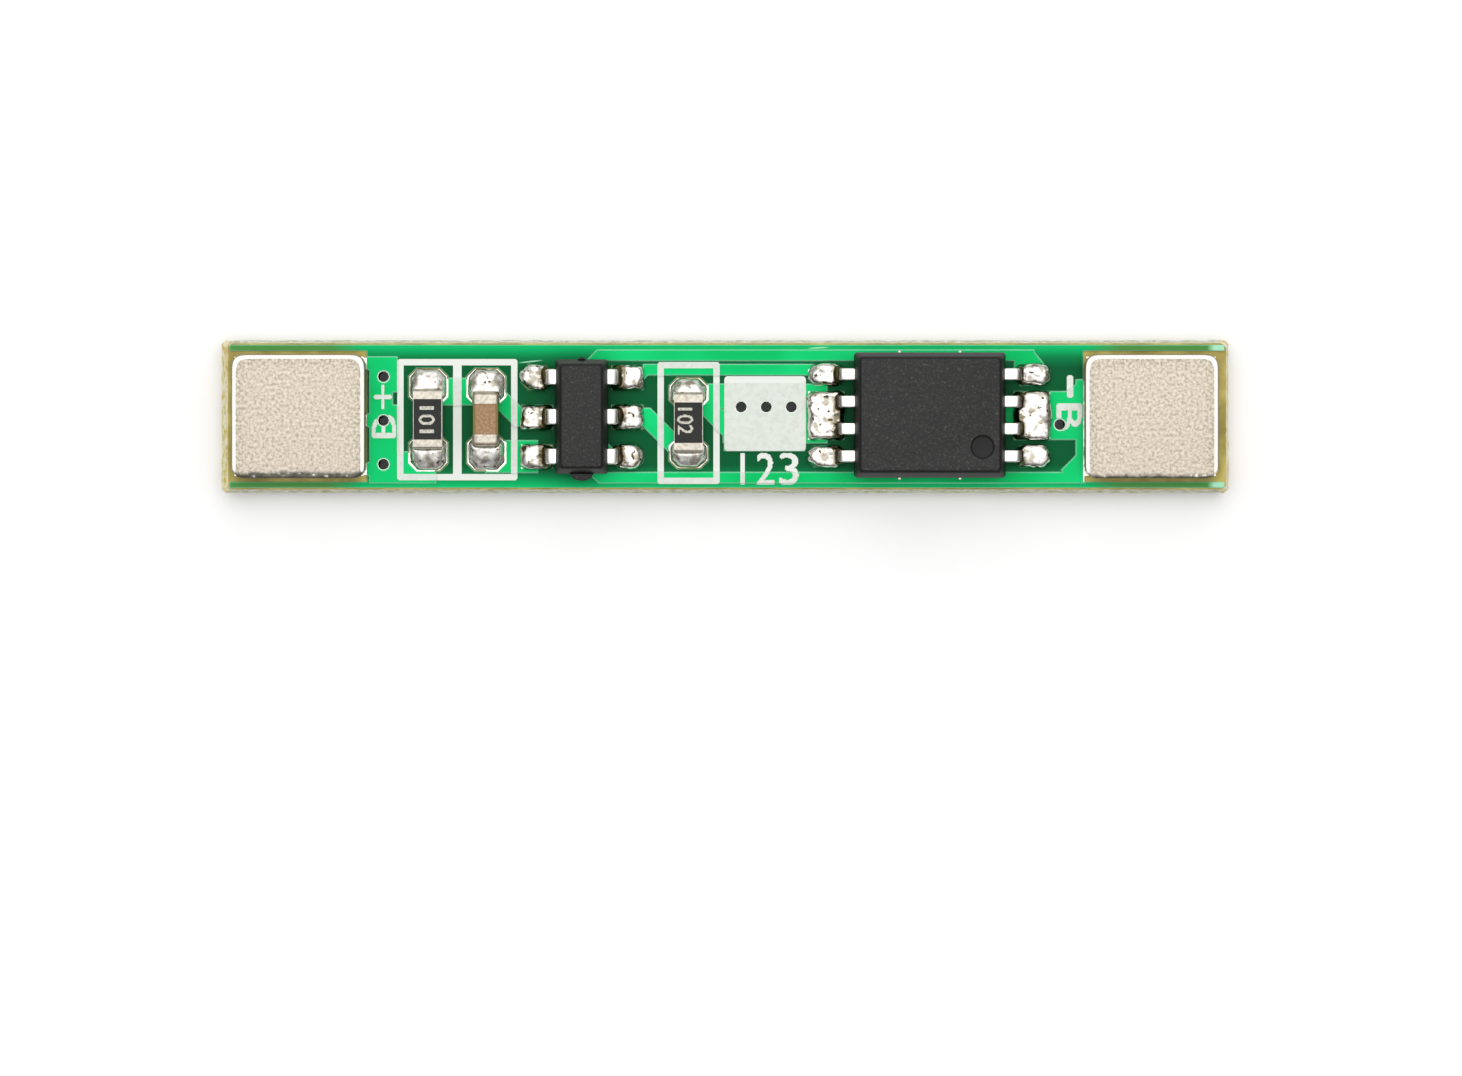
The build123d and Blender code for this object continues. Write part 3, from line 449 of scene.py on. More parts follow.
def printed_mark(letters, name, face, middle, size, turn=0, under=False, spread=ink_spread,
                 ink=ink_finish):
    """Prints letters on a face: their middle, their length and height as printed, and a turn.

    The flat letters hover off the face and are thrown on it. What finds only a hole is deleted.
    """
    bpy.ops.object.select_all(action="DESELECT")
    bpy.ops.object.text_add()
    mark = bpy.context.object
    mark.name = name
    mark.data.body = letters
    mark.data.extrude = letter_depth
    bpy.ops.object.convert(target="MESH")
    corners = [vertex.co for vertex in mark.data.vertices]
    low = [min(corner[axis] for corner in corners) for axis in (0, 1)]
    high = [max(corner[axis] for corner in corners) for axis in (0, 1)]
    mark.location = (-(low[0] + high[0]) / 2, -(low[1] + high[1]) / 2, 0)
    bpy.ops.object.transform_apply(location=True, rotation=False, scale=False)
    mark.scale = [*((size[axis] - 2 * spread) / (high[axis] - low[axis]) for axis in (0, 1)), 1]
    bpy.ops.object.transform_apply(location=False, rotation=False, scale=True)
    shaped(mark, "REMESH", mode="VOXEL", voxel_size=ink_grid)
    shaped(mark, "DISPLACE", strength=spread, mid_level=0)
    shaped(mark, "SMOOTH", factor=0.5, iterations=3)
    top = max(vertex.co.z for vertex in mark.data.vertices)
    without(mark, "VERT", lambda vertex: vertex.co.z < top - ink_grid)
    low_face, high_face = [corner.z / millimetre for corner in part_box(face)]
    start = low_face - hover if under else high_face + hover
    mark.scale = (1, 1, 0)
    bpy.ops.object.transform_apply(location=False, rotation=False, scale=True)
    mark.rotation_euler = (0, radians(180) if under else 0, radians(turn))
    mark.location = (*middle, start)
    bpy.ops.object.transform_apply(location=True, rotation=True, scale=False)
    seat(mark, ink, "white_ink")
    shaped(mark, "SHRINKWRAP", target=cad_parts[face], wrap_method="PROJECT",
           use_project_z=True, use_negative_direction=not under, use_positive_direction=under)
    without(mark, "VERT", lambda vertex: (
        abs(vertex.co.z - start * millimetre) < missed_share * hover * millimetre))
    shaped(mark, "SOLIDIFY", thickness=ink_thickness * millimetre, offset=1)


upper_face = "solder_mask_top"
printed_mark("+", "mark_cell_plus", upper_face, (-9.135, 0.514), (0.534, 0.694))
printed_mark("B", "mark_cell_positive", upper_face, (-9.108, -0.28), (0.654, 0.694), turn=90)
printed_mark("-", "mark_cell_minus", upper_face, (9.215, 0.795), (0.668, 0.214), turn=90)
printed_mark("B", "mark_cell_negative", upper_face, (9.195, -0.02), (0.775, 0.735), turn=-90)
for number, x, width in (("1", 0.47, 0.20), ("2", 1.082, 0.56), ("3", 1.709, 0.58)):
    printed_mark(number, "mark_" + number, upper_face, (x, -1.402), (width, 0.92))
lower_face = "solder_mask_under"
for letters, name, middle, size in (
        ("B", "cell_negative", (7.53, 0.69), (0.60, 1.07)),
        ("-", "cell_minus", (6.85, 0.69), (0.61, 0.20)),
        ("P", "pack_negative", (5.58, 0.67), (0.64, 1.06)),
        ("-", "pack_minus", (4.85, 0.65), (0.65, 0.19)),
        ("P", "pack_positive", (-4.77, 0.68), (0.64, 1.06)),
        ("+", "pack_plus", (-5.49, 0.66), (0.63, 0.69)),
        ("B", "cell_positive", (-6.50, 0.73), (0.65, 1.04)),
        ("+", "cell_plus", (-7.22, 0.73), (0.59, 0.71))):
    printed_mark(letters, "under_mark_" + name, lower_face, middle, size, under=True)


# TINNED LANDS OF THE UNDERSIDE
# Bare lands levelled with hot air after the dip in tin: a wavy skin of dull grey grain, with a
# bright ragged bead along the border of each land and a few bright splashes inside it.

bead_sway = 0.5
bead_from, bead_full = -0.07, -0.11


def levelled_tin(name, low, high):
    """Tin blown level: dull grey grain, and a bright ragged bead along the border of the land."""
    finish = material(name)
    place = add(finish, "TexCoord", {}).outputs["Object"]
    wave = add(finish, "TexNoise", {
        "Vector": place, "Scale": per_millimetre(0.45), "Detail": 5.0, "Roughness": 0.7})
    grain = add(finish, "TexNoise", {
        "Vector": place, "Scale": per_millimetre(0.1), "Detail": 3.0, "Roughness": 0.7})
    middle = (low + high) / 2
    reach = (high - low) / 2
    inward = add(finish, "VectorMath", {"operation": "SUBTRACT", 0: place, 1: middle})
    spread = add(finish, "VectorMath", {"operation": "ABSOLUTE", 0: inward.outputs[0]})
    margin = add(finish, "VectorMath", {
        "operation": "SUBTRACT", 0: reach, 1: spread.outputs[0]})
    sides = add(finish, "SeparateXYZ", {0: margin.outputs[0]})
    border = add(finish, "Math", {"operation": "MINIMUM", 0: sides.outputs["X"], 1: sides.outputs["Y"]})
    ragged = add(finish, "Math", {
        "operation": "MULTIPLY_ADD", 0: wave.outputs[0], 1: -bead_sway * millimetre,
        2: border.outputs[0]})
    bead = add(finish, "MapRange", {
        0: ragged.outputs[0], 1: bead_from * millimetre, 2: bead_full * millimetre})
    splash = add(finish, "MapRange", {0: wave.outputs[0], 1: 0.58, 2: 0.61})
    bright = add(finish, "Math", {
        "operation": "MAXIMUM", 0: bead.outputs[0], 1: splash.outputs[0]})
    dull = add(finish, "ValToRGB", {
        "stops": [(0.35, "50565B"), (0.5, "747A7F"), (0.66, "A5ABAE")], 0: grain.outputs[0]})
    tone = add(finish, "Mix", {
        "data_type": "RGBA", 0: bright.outputs[0], 6: dull.outputs[0], 7: hex_colour("F4F5F5")})
    swell = add(finish, "Bump", {
        "Strength": 0.4, "Distance": 0.03 * millimetre, "Height": wave.outputs[0]})
    add(finish, "BsdfPrincipled", {
        "Base Color": tone.outputs[2], "Metallic": 0.7, "Roughness": 0.4,
        "Normal": swell.outputs[0]})
    return finish


for name in [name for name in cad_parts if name.startswith("tin_")]:
    dress(levelled_tin("levelled_" + name, *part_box(name)), name)


# NICKEL TABS
# Rolled nickel blanks, reflowed onto the end lands so that a strip can be welded to them. The
# punch rolled their upper edge over, which catches the light as a bright rim round a matt face.

tab_roll = 0.05
tab_corner = 0.33

# Rolled nickel, matt from the rolls: warm grey with a fine dark and light grain, darker beside a
# painted highlight along the rolled rim that ends in a tan line, and a band of painted shade, dull grey
# with a few pale flecks, along the near side. The right tab's band of painted shade is narrower.
tab_low, tab_high = [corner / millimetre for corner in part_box("nickel_tab_negative")]
highlight_width = 0.11
highlight_corner = 0.5
beside_rim_width = 0.4
brink_width = 0.05
shade_band_width = 0.20
shade_band_sway = 0.2
right_band_narrower_by = 0.08
nickel_finish = material("matt_rolled_nickel")
place = add(nickel_finish, "TexCoord", {}).outputs["Object"]
axes = add(nickel_finish, "SeparateXYZ", {0: place})
either_end = add(nickel_finish, "Math", {"operation": "ABSOLUTE", 0: axes.outputs["X"]})
inner = add(nickel_finish, "Math", {
    "operation": "SUBTRACT", 0: either_end.outputs[0], 1: tab_low.x * millimetre})
outer = add(nickel_finish, "Math", {
    "operation": "SUBTRACT", 0: tab_high.x * millimetre, 1: either_end.outputs[0]})
upper = add(nickel_finish, "Math", {
    "operation": "SUBTRACT", 0: tab_high.y * millimetre, 1: axes.outputs["Y"]})
lower = add(nickel_finish, "Math", {
    "operation": "SUBTRACT", 0: axes.outputs["Y"], 1: tab_low.y * millimetre})
ragged = add(nickel_finish, "TexNoise", {
    "Vector": place, "Scale": per_millimetre(0.2), "Detail": 4.0})
right_band_narrowing = add(nickel_finish, "MapRange", {
    0: axes.outputs["X"], 1: -millimetre, 2: millimetre, 3: 0.0, 4: right_band_narrower_by * millimetre})
lower_edge = add(nickel_finish, "Math", {
    "operation": "ADD", 0: lower.outputs[0], 1: right_band_narrowing.outputs[0]})
lower_ragged = add(nickel_finish, "Math", {
    "operation": "MULTIPLY_ADD", 0: ragged.outputs[0], 1: shade_band_sway * millimetre,
    2: lower_edge.outputs[0]})
nearer = add(nickel_finish, "Math", {
    "operation": "MINIMUM", 0: inner.outputs[0], 1: outer.outputs[0]})
nearest = add(nickel_finish, "Math", {
    "operation": "SMOOTH_MIN", 0: nearer.outputs[0], 1: upper.outputs[0],
    2: highlight_corner * millimetre})
rim_share = add(nickel_finish, "MapRange", {
    0: nearest.outputs[0], 1: 1.2 * highlight_width * millimetre, 2: 0.9 * highlight_width * millimetre})
beside_rim_share = add(nickel_finish, "MapRange", {
    0: nearest.outputs[0], 1: beside_rim_width * millimetre, 2: highlight_width * millimetre, 3: 0.0, 4: 0.5})
# Painted shade: a dull grey band along the lower edge of each tab, with pale flecks, narrower on the
# right tab.
shade_band_share = add(nickel_finish, "MapRange", {
    0: lower_ragged.outputs[0], 1: 1.5 * shade_band_width * millimetre, 2: shade_band_width * millimetre})
grain = add(nickel_finish, "TexNoise", {
    "Vector": place, "Scale": per_millimetre(0.08), "Detail": 4.0, "Roughness": 0.7})
grain_tone = add(nickel_finish, "ValToRGB", {
    "stops": [(0.34, "928D80"), (0.46, "B5AA9A"), (0.62, "CFC5B6")], 0: grain.outputs[0]})
beside_rim_tone = add(nickel_finish, "ValToRGB", {
    "stops": [(0.44, "7E7A6C"), (0.56, "C2B8A8")], 0: grain.outputs[0]})
worked = add(nickel_finish, "Mix", {
    "data_type": "RGBA", 0: beside_rim_share.outputs[0], 6: grain_tone.outputs[0],
    7: beside_rim_tone.outputs[0]})
# Painted highlight: near white along the inner, outer and far edges, where the rolled rim faces the
# light.
rim_highlight = add(nickel_finish, "Mix", {
    "data_type": "RGBA", 0: rim_share.outputs[0], 6: worked.outputs[2],
    7: hex_colour("F6F3EC")})
brink_share = add(nickel_finish, "MapRange", {
    0: nearest.outputs[0], 1: brink_width * millimetre, 2: 0.5 * brink_width * millimetre})
brink = add(nickel_finish, "Mix", {
    "data_type": "RGBA", 0: brink_share.outputs[0], 6: rim_highlight.outputs[2],
    7: hex_colour("9A907C")})
flecks = add(nickel_finish, "TexNoise", {
    "Vector": place, "Scale": per_millimetre(0.15), "Detail": 2.0})
shade_band_tone = add(nickel_finish, "ValToRGB", {
    "stops": [(0.4, "4A4C44"), (0.62, "6C6C62"), (0.72, "EEEDE8")], 0: flecks.outputs[0]})
nickel_colour = add(nickel_finish, "Mix", {
    "data_type": "RGBA", 0: shade_band_share.outputs[0], 6: brink.outputs[2],
    7: shade_band_tone.outputs[0]})
pits = add(nickel_finish, "Bump", {
    "Strength": 0.18, "Distance": 0.008 * millimetre, "Height": grain.outputs[0]})
add(nickel_finish, "BsdfPrincipled", {
    "Base Color": nickel_colour.outputs[2], "Metallic": 0.8, "Roughness": 0.45,
    "Normal": pits.outputs[0]})

for end_name in ("positive", "negative"):
    low, high = [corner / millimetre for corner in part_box("nickel_tab_" + end_name)]
    tab = block("weld_tab_" + end_name, (low + high) / 2, high - low)
    rounded_edges(tab, tab_corner, 10, lambda a, b: abs(a.z - b.z) > tab_roll)
    rounded_edges(tab, tab_roll, 6, lambda a, b: min(a.z, b.z) > (low.z + high.z) / 2)
    bpy.ops.object.shade_smooth_by_angle(angle=radians(30))
    seat(tab, nickel_finish, "nickel", "nickel_tab_" + end_name)

# The solder under a tab, brown with the flux that was squeezed out with it.
bed_finish = material("flux_stained_solder")
place = add(bed_finish, "TexCoord", {}).outputs["Object"]
stain = add(bed_finish, "TexNoise", {
    "Vector": place, "Scale": per_millimetre(0.3), "Detail": 3.0})
stain_tone = add(bed_finish, "ValToRGB", {
    "stops": [(0.35, "5F5628"), (0.6, "8C8350"), (0.72, "C9C4A8")], 0: stain.outputs[0]})
add(bed_finish, "BsdfPrincipled", {
    "Base Color": stain_tone.outputs[0], "Metallic": 0.3, "Roughness": 0.4})
dress(bed_finish, "tab_solder_positive", "tab_solder_negative")


# RESISTORS AND CAPACITOR
# Chip resistors are alumina with a black glaze between wrapped terminals. The capacitor is a
# block of brown ceramic layers with a plated cap on each end.

# Fired alumina: chalky white with a faint sandy grain.
ceramic_finish = material("fired_white_alumina")
place = add(ceramic_finish, "TexCoord", {}).outputs["Object"]
sand = add(ceramic_finish, "TexNoise", {
    "Vector": place, "Scale": per_millimetre(0.05), "Detail": 3.0})
sand_tone = add(ceramic_finish, "ValToRGB", {
    "stops": [(0.35, "C9C4B6"), (0.65, "E6E2D8")], 0: sand.outputs[0]})
sand_bump = add(ceramic_finish, "Bump", {
    "Strength": 0.4, "Distance": 0.01 * millimetre, "Height": sand.outputs[0]})
add(ceramic_finish, "BsdfPrincipled", {
    "Base Color": sand_tone.outputs[0], "Roughness": 0.6, "Normal": sand_bump.outputs[0]})

# Fired glass over the resistor film: black, smooth and a little wavy.
glaze_finish = material("black_glass_glaze")
place = add(glaze_finish, "TexCoord", {}).outputs["Object"]
flow = add(glaze_finish, "TexNoise", {
    "Vector": place, "Scale": per_millimetre(0.2), "Detail": 2.0})
run = add(glaze_finish, "Bump", {
    "Strength": 0.2, "Distance": 0.01 * millimetre, "Height": flow.outputs[0]})
glaze_tone = add(glaze_finish, "ValToRGB", {
    "stops": [(0.35, "0A0A09"), (0.65, "141412")], 0: flow.outputs[0]})
add(glaze_finish, "BsdfPrincipled", {
    "Base Color": glaze_tone.outputs[0], "Roughness": 0.35, "Specular IOR Level": 0.3,
    "Normal": run.outputs[0]})

# Fired titanate: matt brown, with an olive tinge where the block was sawn.
sawn_from, sawn_full = 0.08, 0.05
brown_finish = material("fired_capacitor_ceramic")
place = add(brown_finish, "TexCoord", {}).outputs["Object"]
layers = add(brown_finish, "TexNoise", {
    "Vector": place, "Scale": per_millimetre(0.07), "Detail": 3.0})
brown = add(brown_finish, "ValToRGB", {
    "stops": [(0.3, "8E6B4A"), (0.6, "A68564"), (0.72, "B79A79")], 0: layers.outputs[0]})
axes = add(brown_finish, "SeparateXYZ", {0: place})
block_low, block_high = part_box("capacitor_ceramic")
off_middle = add(brown_finish, "Math", {
    "operation": "SUBTRACT", 0: axes.outputs["X"], 1: (block_low.x + block_high.x) / 2})
to_side = add(brown_finish, "Math", {"operation": "ABSOLUTE", 0: off_middle.outputs[0]})
half_block = (block_high.x - block_low.x) / 2
side_share = add(brown_finish, "MapRange", {
    0: to_side.outputs[0], 1: half_block - sawn_from * millimetre,
    2: half_block - sawn_full * millimetre})
brown_side = add(brown_finish, "Mix", {
    "data_type": "RGBA", 0: side_share.outputs[0], 6: brown.outputs[0], 7: hex_colour("7A6A38")})
add(brown_finish, "BsdfPrincipled", {
    "Base Color": brown_side.outputs[2], "Roughness": 0.5, "Specular IOR Level": 0.3})

# Barrel-plated tin: satin silver with a fine grain, which lights up along its rounded edges.
terminal_finish = material("tin_plated_terminal")
place = add(terminal_finish, "TexCoord", {}).outputs["Object"]
satin = add(terminal_finish, "TexNoise", {
    "Vector": place, "Scale": per_millimetre(0.09), "Detail": 3.0})
satin_tone = add(terminal_finish, "ValToRGB", {
    "stops": [(0.3, "9E9788"), (0.6, "BEB8AC")], 0: satin.outputs[0]})
satin_bump = add(terminal_finish, "Bump", {
    "Strength": 0.4, "Distance": 0.015 * millimetre, "Height": satin.outputs[0]})
add(terminal_finish, "BsdfPrincipled", {
    "Base Color": satin_tone.outputs[0], "Metallic": 1.0, "Roughness": 0.3,
    "Normal": satin_bump.outputs[0]})

dress(ceramic_finish, "supply_resistor_ceramic", "sense_resistor_ceramic")
dress(glaze_finish, "supply_resistor_glaze", "sense_resistor_glaze")
dress(brown_finish, "capacitor_ceramic")

# End caps, open towards the middle of the chip. Those of the capacitor wrap its sides as well.
plating = 0.03
nearly = 0.01
for chip, roll, wraps in (("supply_resistor", 0.08, False), ("sense_resistor", 0.08, False),
                          ("capacitor", 0.12, True)):
    terminals = chip + "_terminals"
    low, high = [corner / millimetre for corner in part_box(terminals)]
    middle = (low + high) / 2
    inner_y = min(at.co.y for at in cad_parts[terminals].data.vertices
                  if at.co.y / millimetre > middle.y) / millimetre
    band = high.y - inner_y
    caps = []
    for side in (1, -1):
        cap_y = middle.y + side * (high.y - band / 2 - middle.y)
        mouth_y = cap_y - side * band / 2
        cap = block(chip + "_end_caps", (middle.x, cap_y, middle.z),
                    (high.x - low.x, band, high.z - low.z))
        rounded_edges(cap, roll, 5, lambda a, b: abs(a.y + b.y - 2 * mouth_y) > nearly
                      and (wraps or abs(a.x - b.x) > nearly))
        without(cap, "FACE", lambda face: abs(face.center.y - mouth_y) < nearly
                or (abs(face.normal.x) > 1 - nearly and not wraps))
        shaped(cap, "SOLIDIFY", thickness=plating, offset=-1)
        bpy.ops.object.shade_smooth_by_angle(angle=radians(30))
        caps.append(cap)
    only(*caps)
    bpy.ops.object.join()
    seat(caps[0], terminal_finish, "plated_terminal", terminals)

# Plain three-figure codes on the glaze, in a stone-coloured marking ink.
code_ink = material("stone_marking_ink")
place = add(code_ink, "TexCoord", {}).outputs["Object"]
wear = add(code_ink, "TexNoise", {
    "Vector": place, "Scale": per_millimetre(0.06), "Detail": 3.0})
wear_tone = add(code_ink, "ValToRGB", {
    "stops": [(0.35, "A5A294"), (0.55, "D0CDBF")], 0: wear.outputs[0]})
add(code_ink, "BsdfPrincipled", {"Base Color": wear_tone.outputs[0], "Roughness": 0.6})
code_size = (0.74, 0.47)
code_spread = 0.03
for chip, code, x, y in (("supply", "101", -7.939, -0.10), ("sense", "102", -1.062, -0.14)):
    printed_mark(code, "code_" + chip, chip + "_resistor_glaze", (x, y), code_size, turn=-90,
                 spread=code_spread, ink=code_ink)


# MOULDED CHIPS
# The six-lead control chip and the eight-lead switching chip: black epoxy moulded round a lead
# frame, whose leads were tinned, cut and bent down to the board.


def soften(piece, width, steps, angle):
    """Rounds the edges of a piece that are sharper than an angle."""
    only(piece)
    bpy.ops.object.mode_set(mode="EDIT")
    bpy.ops.mesh.select_mode(type="EDGE")
    bpy.ops.mesh.select_all(action="DESELECT")
    bpy.ops.mesh.edges_select_sharp(sharpness=radians(angle))
    bpy.ops.mesh.bevel(offset=width, segments=steps, affect="EDGES", clamp_overlap=False)
    bpy.ops.object.mode_set(mode="OBJECT")
    bpy.ops.object.shade_smooth_by_angle(angle=radians(40))


# Moulding compound, full of ground silica: charcoal with a fine grain, painted near black as shade on
# the slopes of its walls and in the dimple that marks the first lead.
dimple_x, dimple_y, dimple_radius = 6.837, -0.840, 0.30
slope_middle, slope_reach = 0.45, 0.5
compound_finish = material("black_moulding_compound")
place = add(compound_finish, "TexCoord", {}).outputs["Object"]
filler = add(compound_finish, "TexNoise", {
    "Vector": place, "Scale": per_millimetre(0.06), "Detail": 3.0, "Roughness": 0.6})
filler_tone = add(compound_finish, "ValToRGB", {
    "stops": [(0.35, "191919"), (0.58, "272726"), (0.72, "484844")], 0: filler.outputs[0]})
facing = add(compound_finish, "NewGeometry", {})
slope = add(compound_finish, "SeparateXYZ", {0: facing.outputs["Normal"]})
slope_shade = add(compound_finish, "Math", {
    "operation": "COMPARE", 0: slope.outputs["Z"], 1: slope_middle, 2: slope_reach})
pin_mark = add(compound_finish, "Mapping", {
    "vector_type": "TEXTURE", "Vector": place,
    "Location": (dimple_x * millimetre, dimple_y * millimetre, 0),
    "Scale": (dimple_radius * millimetre, dimple_radius * millimetre, 1)})
pin_disc = add(compound_finish, "TexGradient", {
    "gradient_type": "SPHERICAL", 0: pin_mark.outputs[0]})
dimple_shade = add(compound_finish, "MapRange", {0: pin_disc.outputs[1], 1: 0.0, 2: 0.05})
painted_shade_share = add(compound_finish, "Math", {
    "operation": "MAXIMUM", 0: slope_shade.outputs[0], 1: dimple_shade.outputs[0]})
# Painted shade: sloped walls and the dimple are coloured near black.
compound_tone = add(compound_finish, "Mix", {
    "data_type": "RGBA", 0: painted_shade_share.outputs[0], 6: filler_tone.outputs[0],
    7: hex_colour("0C0C0B")})
filler_bump = add(compound_finish, "Bump", {
    "Strength": 0.5, "Distance": 0.012 * millimetre, "Height": filler.outputs[0]})
add(compound_finish, "BsdfPrincipled", {
    "Base Color": compound_tone.outputs[2], "Roughness": 0.5, "Specular IOR Level": 0.3,
    "Normal": filler_bump.outputs[0]})
for chip in ("controller", "transistor"):
    body = traced(chip + "_housing", chip + "_body")
    soften(body, width=0.03, steps=3, angle=20)
    seat(body, compound_finish, "moulding_compound", chip + "_housing")

# Tin plating on a formed lead: bright on its shoulder, darker brown-grey from just below it down the
# bend to its heel.
darkening_from, darkening_full = 0.05, 0.14
lead_low, lead_high = [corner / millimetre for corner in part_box("controller_lead_1")]
lead_finish = material("tin_plated_lead")
place = add(lead_finish, "TexCoord", {}).outputs["Object"]
axes = add(lead_finish, "SeparateXYZ", {0: place})
draw = add(lead_finish, "TexNoise", {
    "Vector": place, "Scale": per_millimetre(0.12), "Detail": 3.0})
draw_bump = add(lead_finish, "Bump", {
    "Strength": 0.35, "Distance": 0.015 * millimetre, "Height": draw.outputs[0]})
below_shoulder = add(lead_finish, "MapRange", {
    0: axes.outputs["Z"], 1: (lead_high.z - darkening_from) * millimetre,
    2: (lead_high.z - darkening_full) * millimetre})
lead_tone = add(lead_finish, "Mix", {
    "data_type": "RGBA", 0: below_shoulder.outputs[0], 6: hex_colour("EFEDE8"), 7: hex_colour("5E5848")})
add(lead_finish, "BsdfPrincipled", {
    "Base Color": lead_tone.outputs[2], "Metallic": 1.0, "Roughness": 0.2,
    "Normal": draw_bump.outputs[0]})
for name in [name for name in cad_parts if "_lead_" in name]:
    lead = traced(name, name.replace("_lead_", "_formed_lead_"))
    soften(lead, width=0.04, steps=3, angle=40)
    seat(lead, lead_finish, "tinned_lead", name)

# Ends of the bars that held the switching chip's lead frame, cut off flush at its two short walls.
tie_offset = 0.805
tie_drop = 0.08
tie_size = (0.08, 0.09, 0.06)
tie_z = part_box("transistor_lead_1")[1].z / millimetre - tie_drop
body_low, body_high = [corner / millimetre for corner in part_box("transistor_housing")]
body_x = (body_low.x + body_high.x) / 2
tie_places = [(body_x + side * tie_offset, wall_y, tie_z)
              for wall_y in (body_high.y, body_low.y) for side in (-1, 1)]
for number, tie_place in enumerate(tie_places, start=1):
    stub = block("tie_bar_end_" + str(number), tie_place, tie_size)
    soften(stub, width=0.02, steps=2, angle=40)
    seat(stub, lead_finish, "tinned_lead")


# SOLDER
# Reflowed solder: it wets the whole land, climbs each foot and terminal, and sets with a bright curved
# skin. Flux dries brown at its rim, and painted shade darkens the rim, the heels and the hollows.

flux_reach = 0.12
rim_flux_and_shade_reach = 0.04
sunk = 0.01
heel_flux_and_shade_from, heel_flux_and_shade_full = 0.08, 0.03
bend_stain_from, bend_stain_full = 0.08, -0.02


def solder_skin(name, metal, roughness, wrinkles, heel_z, chip_x=0.0, bend=0.0):
    """Frozen solder: bright, with brown flux in patches and on lead bends, and dark brown painted shade
    with flux in its hollows, at its heels and round its rim.

    heel_z is the height of the heels, and bend how far off chip_x the bends of the leads are.
    """
    finish = material(name)
    place = add(finish, "TexCoord", {}).outputs["Object"]
    axes = add(finish, "SeparateXYZ", {0: place})
    flux = add(finish, "TexNoise", {
        "Vector": place, "Scale": per_millimetre(0.25), "Detail": 3.0})
    pores = add(finish, "TexNoise", {
        "Vector": place, "Scale": per_millimetre(0.14), "Detail": 2.0})
    low_part = add(finish, "MapRange", {
        0: axes.outputs["Z"], 1: (mask_high + flux_reach) * millimetre,
        2: (mask_high - sunk) * millimetre})
    patches = add(finish, "MapRange", {0: flux.outputs[0], 1: 0.45, 2: 0.56})
    film = add(finish, "Math", {
        "operation": "MULTIPLY", 0: low_part.outputs[0], 1: patches.outputs[0]})
    # Painted shade with flux: dark brown round the foot of the solder, in its creases and at the heels
    # of the leads.
    rim = add(finish, "MapRange", {
        0: axes.outputs["Z"], 1: (mask_high + rim_flux_and_shade_reach) * millimetre,
        2: (mask_high - sunk) * millimetre})
    hollow = add(finish, "NewGeometry", {})
    crease_shade = add(finish, "MapRange", {0: hollow.outputs["Pointiness"], 1: 0.490, 2: 0.46})
    heel_flux_and_shade = add(finish, "MapRange", {
        0: axes.outputs["Z"], 1: (heel_z - heel_flux_and_shade_from) * millimetre,
        2: (heel_z - heel_flux_and_shade_full) * millimetre})
    off_chip = add(finish, "Math", {
        "operation": "SUBTRACT", 0: axes.outputs["X"], 1: chip_x * millimetre})
    to_lead = add(finish, "Math", {"operation": "ABSOLUTE", 0: off_chip.outputs[0]})
    bent = add(finish, "MapRange", {
        0: to_lead.outputs[0], 1: (bend + bend_stain_from) * millimetre,
        2: (bend + bend_stain_full) * millimetre})
    stain = add(finish, "MapRange", {0: pores.outputs[0], 1: 0.36, 2: 0.46})
    bend_stain = add(finish, "Math", {
        "operation": "MULTIPLY", 0: bent.outputs[0], 1: stain.outputs[0]})
    specks = add(finish, "MapRange", {0: pores.outputs[0], 1: 0.63, 2: 0.68})
    share = film
    for part in (rim, crease_shade, heel_flux_and_shade, specks):
        share = add(finish, "Math", {
            "operation": "MAXIMUM", 0: share.outputs[0], 1: part.outputs[0]})
    metal_tone = add(finish, "ValToRGB", {
        "stops": [(0.36, "A39C8E"), (0.5, "E6E3DD")], 0: flux.outputs[0]})
    bend_tone = add(finish, "Mix", {
        "data_type": "RGBA", 0: bend_stain.outputs[0], 6: metal_tone.outputs[0],
        7: hex_colour("7A735E")})
    colour = add(finish, "Mix", {
        "data_type": "RGBA", 0: share.outputs[0], 6: bend_tone.outputs[2],
        7: hex_colour("4F432B")})
    wrinkle = add(finish, "Bump", {
        "Strength": wrinkles, "Distance": 0.03 * millimetre, "Height": flux.outputs[0]})
    add(finish, "BsdfPrincipled", {
        "Base Color": colour.outputs[2], "Metallic": metal, "Roughness": roughness,
        "Normal": wrinkle.outputs[0]})
    return finish


heel_top = lead_low.z + 0.36
lead_solders = {}
for chip, bend in (("controller", 0.44), ("transistor", 0.52)):
    low, high = [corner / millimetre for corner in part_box(chip + "_housing")]
    lead_solders[chip] = solder_skin(
        "reflowed_solder_on_" + chip + "_leads", metal=1.0, roughness=0.14, wrinkles=0.4,
        heel_z=heel_top, chip_x=(low.x + high.x) / 2, bend=(high.x - low.x) / 2 + bend)
chip_solder = solder_skin(
    "reflowed_solder_on_chips", metal=0.8, roughness=0.24, wrinkles=0.05, heel_z=lead_high.z)

ripple_field = clouds("solder_ripple", 0.4)
climb_top = lead_low.z + 0.34
solder_grid = 0.02


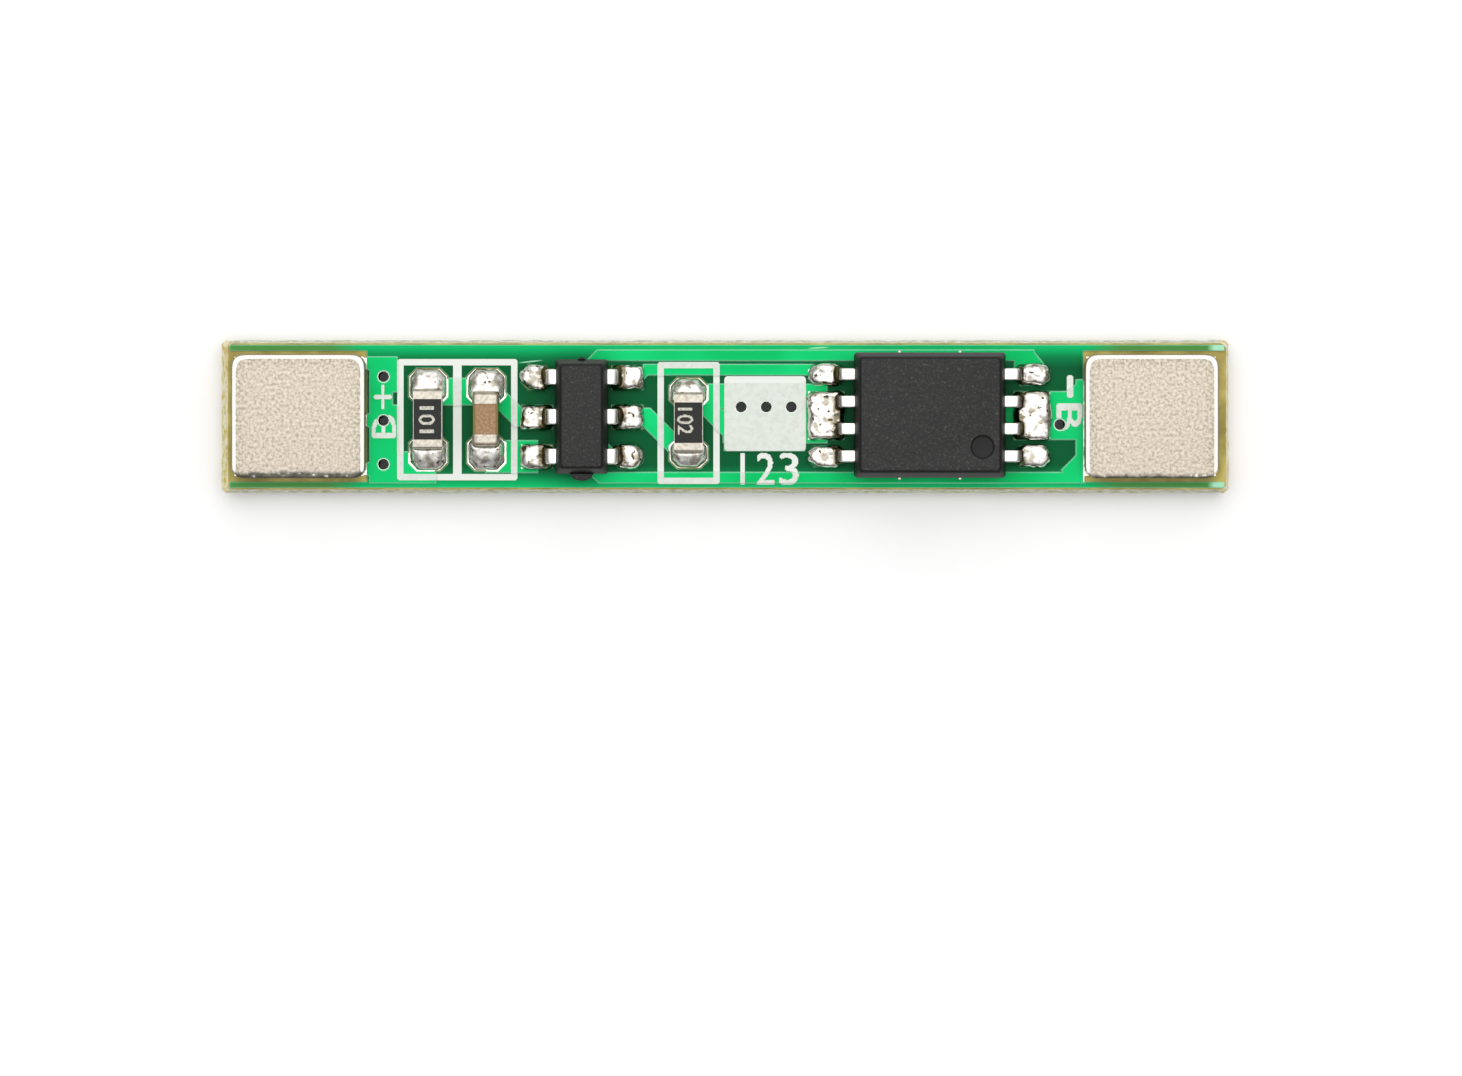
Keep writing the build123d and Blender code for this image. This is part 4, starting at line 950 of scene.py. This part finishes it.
def melted(node, name, finish, skin, slump, ripple, feet=()):
    """Solder with the feet it holds, fused and slumped into one smooth skin."""
    drop = traced(node, name)
    for foot in feet:
        stub = traced(foot, "stub")
        bpy.ops.object.mode_set(mode="EDIT")
        bpy.ops.mesh.select_all(action="SELECT")
        bpy.ops.mesh.bisect(plane_co=(0, 0, climb_top), plane_no=(0, 0, 1), use_fill=True,
                            clear_outer=True)
        bpy.ops.object.mode_set(mode="OBJECT")
        only(drop, stub)
        bpy.ops.object.join()
    shaped(drop, "REMESH", mode="VOXEL", voxel_size=solder_grid)
    shaped(drop, "DISPLACE", strength=skin, mid_level=0)
    shaped(drop, "SMOOTH", factor=0.5, iterations=slump)
    shaped(drop, "DISPLACE", texture=ripple_field, strength=ripple, mid_level=0.45,
           texture_coords="LOCAL")
    shaped(drop, "SMOOTH", factor=0.5, iterations=4)
    bpy.ops.object.shade_smooth()
    seat(drop, finish, "solder", node)


for chip, leads in (("controller", 6), ("transistor", 8)):
    names = [chip + "_lead_" + str(number + 1) for number in range(leads)]
    for side, feet in (("left", names[leads // 2:]), ("right", names[:leads // 2])):
        melted(chip + "_solder_" + side, chip + "_joint_" + side, lead_solders[chip],
               skin=0.05, slump=16, ripple=0.14, feet=feet)
for chip in ("supply_resistor", "sense_resistor", "capacitor"):
    melted(chip + "_solder", chip + "_joint", chip_solder, skin=0.01, slump=40, ripple=0.06)


# FLOOR, LIGHT AND CAMERA
# A white table under a light tent: white overhead, grey at the horizon, lighter behind the board
# and darkest in front of it, so that a rounded edge has a bright far side and a dark near one.

table_width = 1500
bpy.ops.object.select_all(action="DESELECT")
bpy.ops.mesh.primitive_plane_add(size=table_width * millimetre)
floor = bpy.context.object
floor.name = "table"
paper = material("white_table")
place = add(paper, "TexCoord", {}).outputs["Object"]
fibres = add(paper, "TexNoise", {"Vector": place, "Scale": per_millimetre(2.5)})
paper_tone = add(paper, "ValToRGB", {
    "stops": [(0.3, "F6F6F6"), (0.7, "F8F8F8")], 0: fibres.outputs[0]})
add(paper, "BsdfPrincipled", {
    "Base Color": paper_tone.outputs[0], "Roughness": 0.9, "Specular IOR Level": 0.0})
floor.data.materials.append(paper)

backward_lean = 0.3
tent = bpy.data.worlds.new("light_tent")
tent.use_nodes = True
tent.node_tree.nodes.clear()
tent.node_tree.nodes.new("ShaderNodeOutputWorld")
bpy.context.scene.world = tent
place = add(tent, "TexCoord", {}).outputs["Generated"]
axes = add(tent, "SeparateXYZ", {0: place})
lean = add(tent, "Math", {
    "operation": "MULTIPLY_ADD", 0: axes.outputs["Y"], 1: backward_lean, 2: axes.outputs["Z"]})
share = add(tent, "MapRange", {0: lean.outputs[0], 1: -1.0, 2: 1.0})
sky = add(tent, "ValToRGB", {
    "stops": [(0.35, "2C2C2C"), (0.5, "505050"), (0.65, "6C6C6C"), (0.8, "A8A8A8"),
              (0.9, "D8D8D8"), (0.98, "FFFFFF")],
    0: share.outputs[0]})
add(tent, "Background", {"Color": sky.outputs[0], "Strength": 1.95})

# The photo also shows the underside below this view, so its middle lies off the board's middle.
pixels_per_mm = 37.44
photo_width = 1462
photo_x, photo_y = 0.16, -3.25
lens = 150
frame_width = photo_width / pixels_per_mm * millimetre
camera = bpy.data.objects.new("camera", bpy.data.cameras.new("camera"))
bpy.context.scene.collection.objects.link(camera)
camera.data.lens = lens
camera.data.sensor_width = 36
distance = frame_width * lens / camera.data.sensor_width
camera.location = (photo_x * millimetre, photo_y * millimetre, distance + mask_low * millimetre)
camera.data.clip_start = 0.01
camera.data.clip_end = 10
bpy.context.scene.camera = camera
bpy.context.scene.view_settings.view_transform = "Standard"
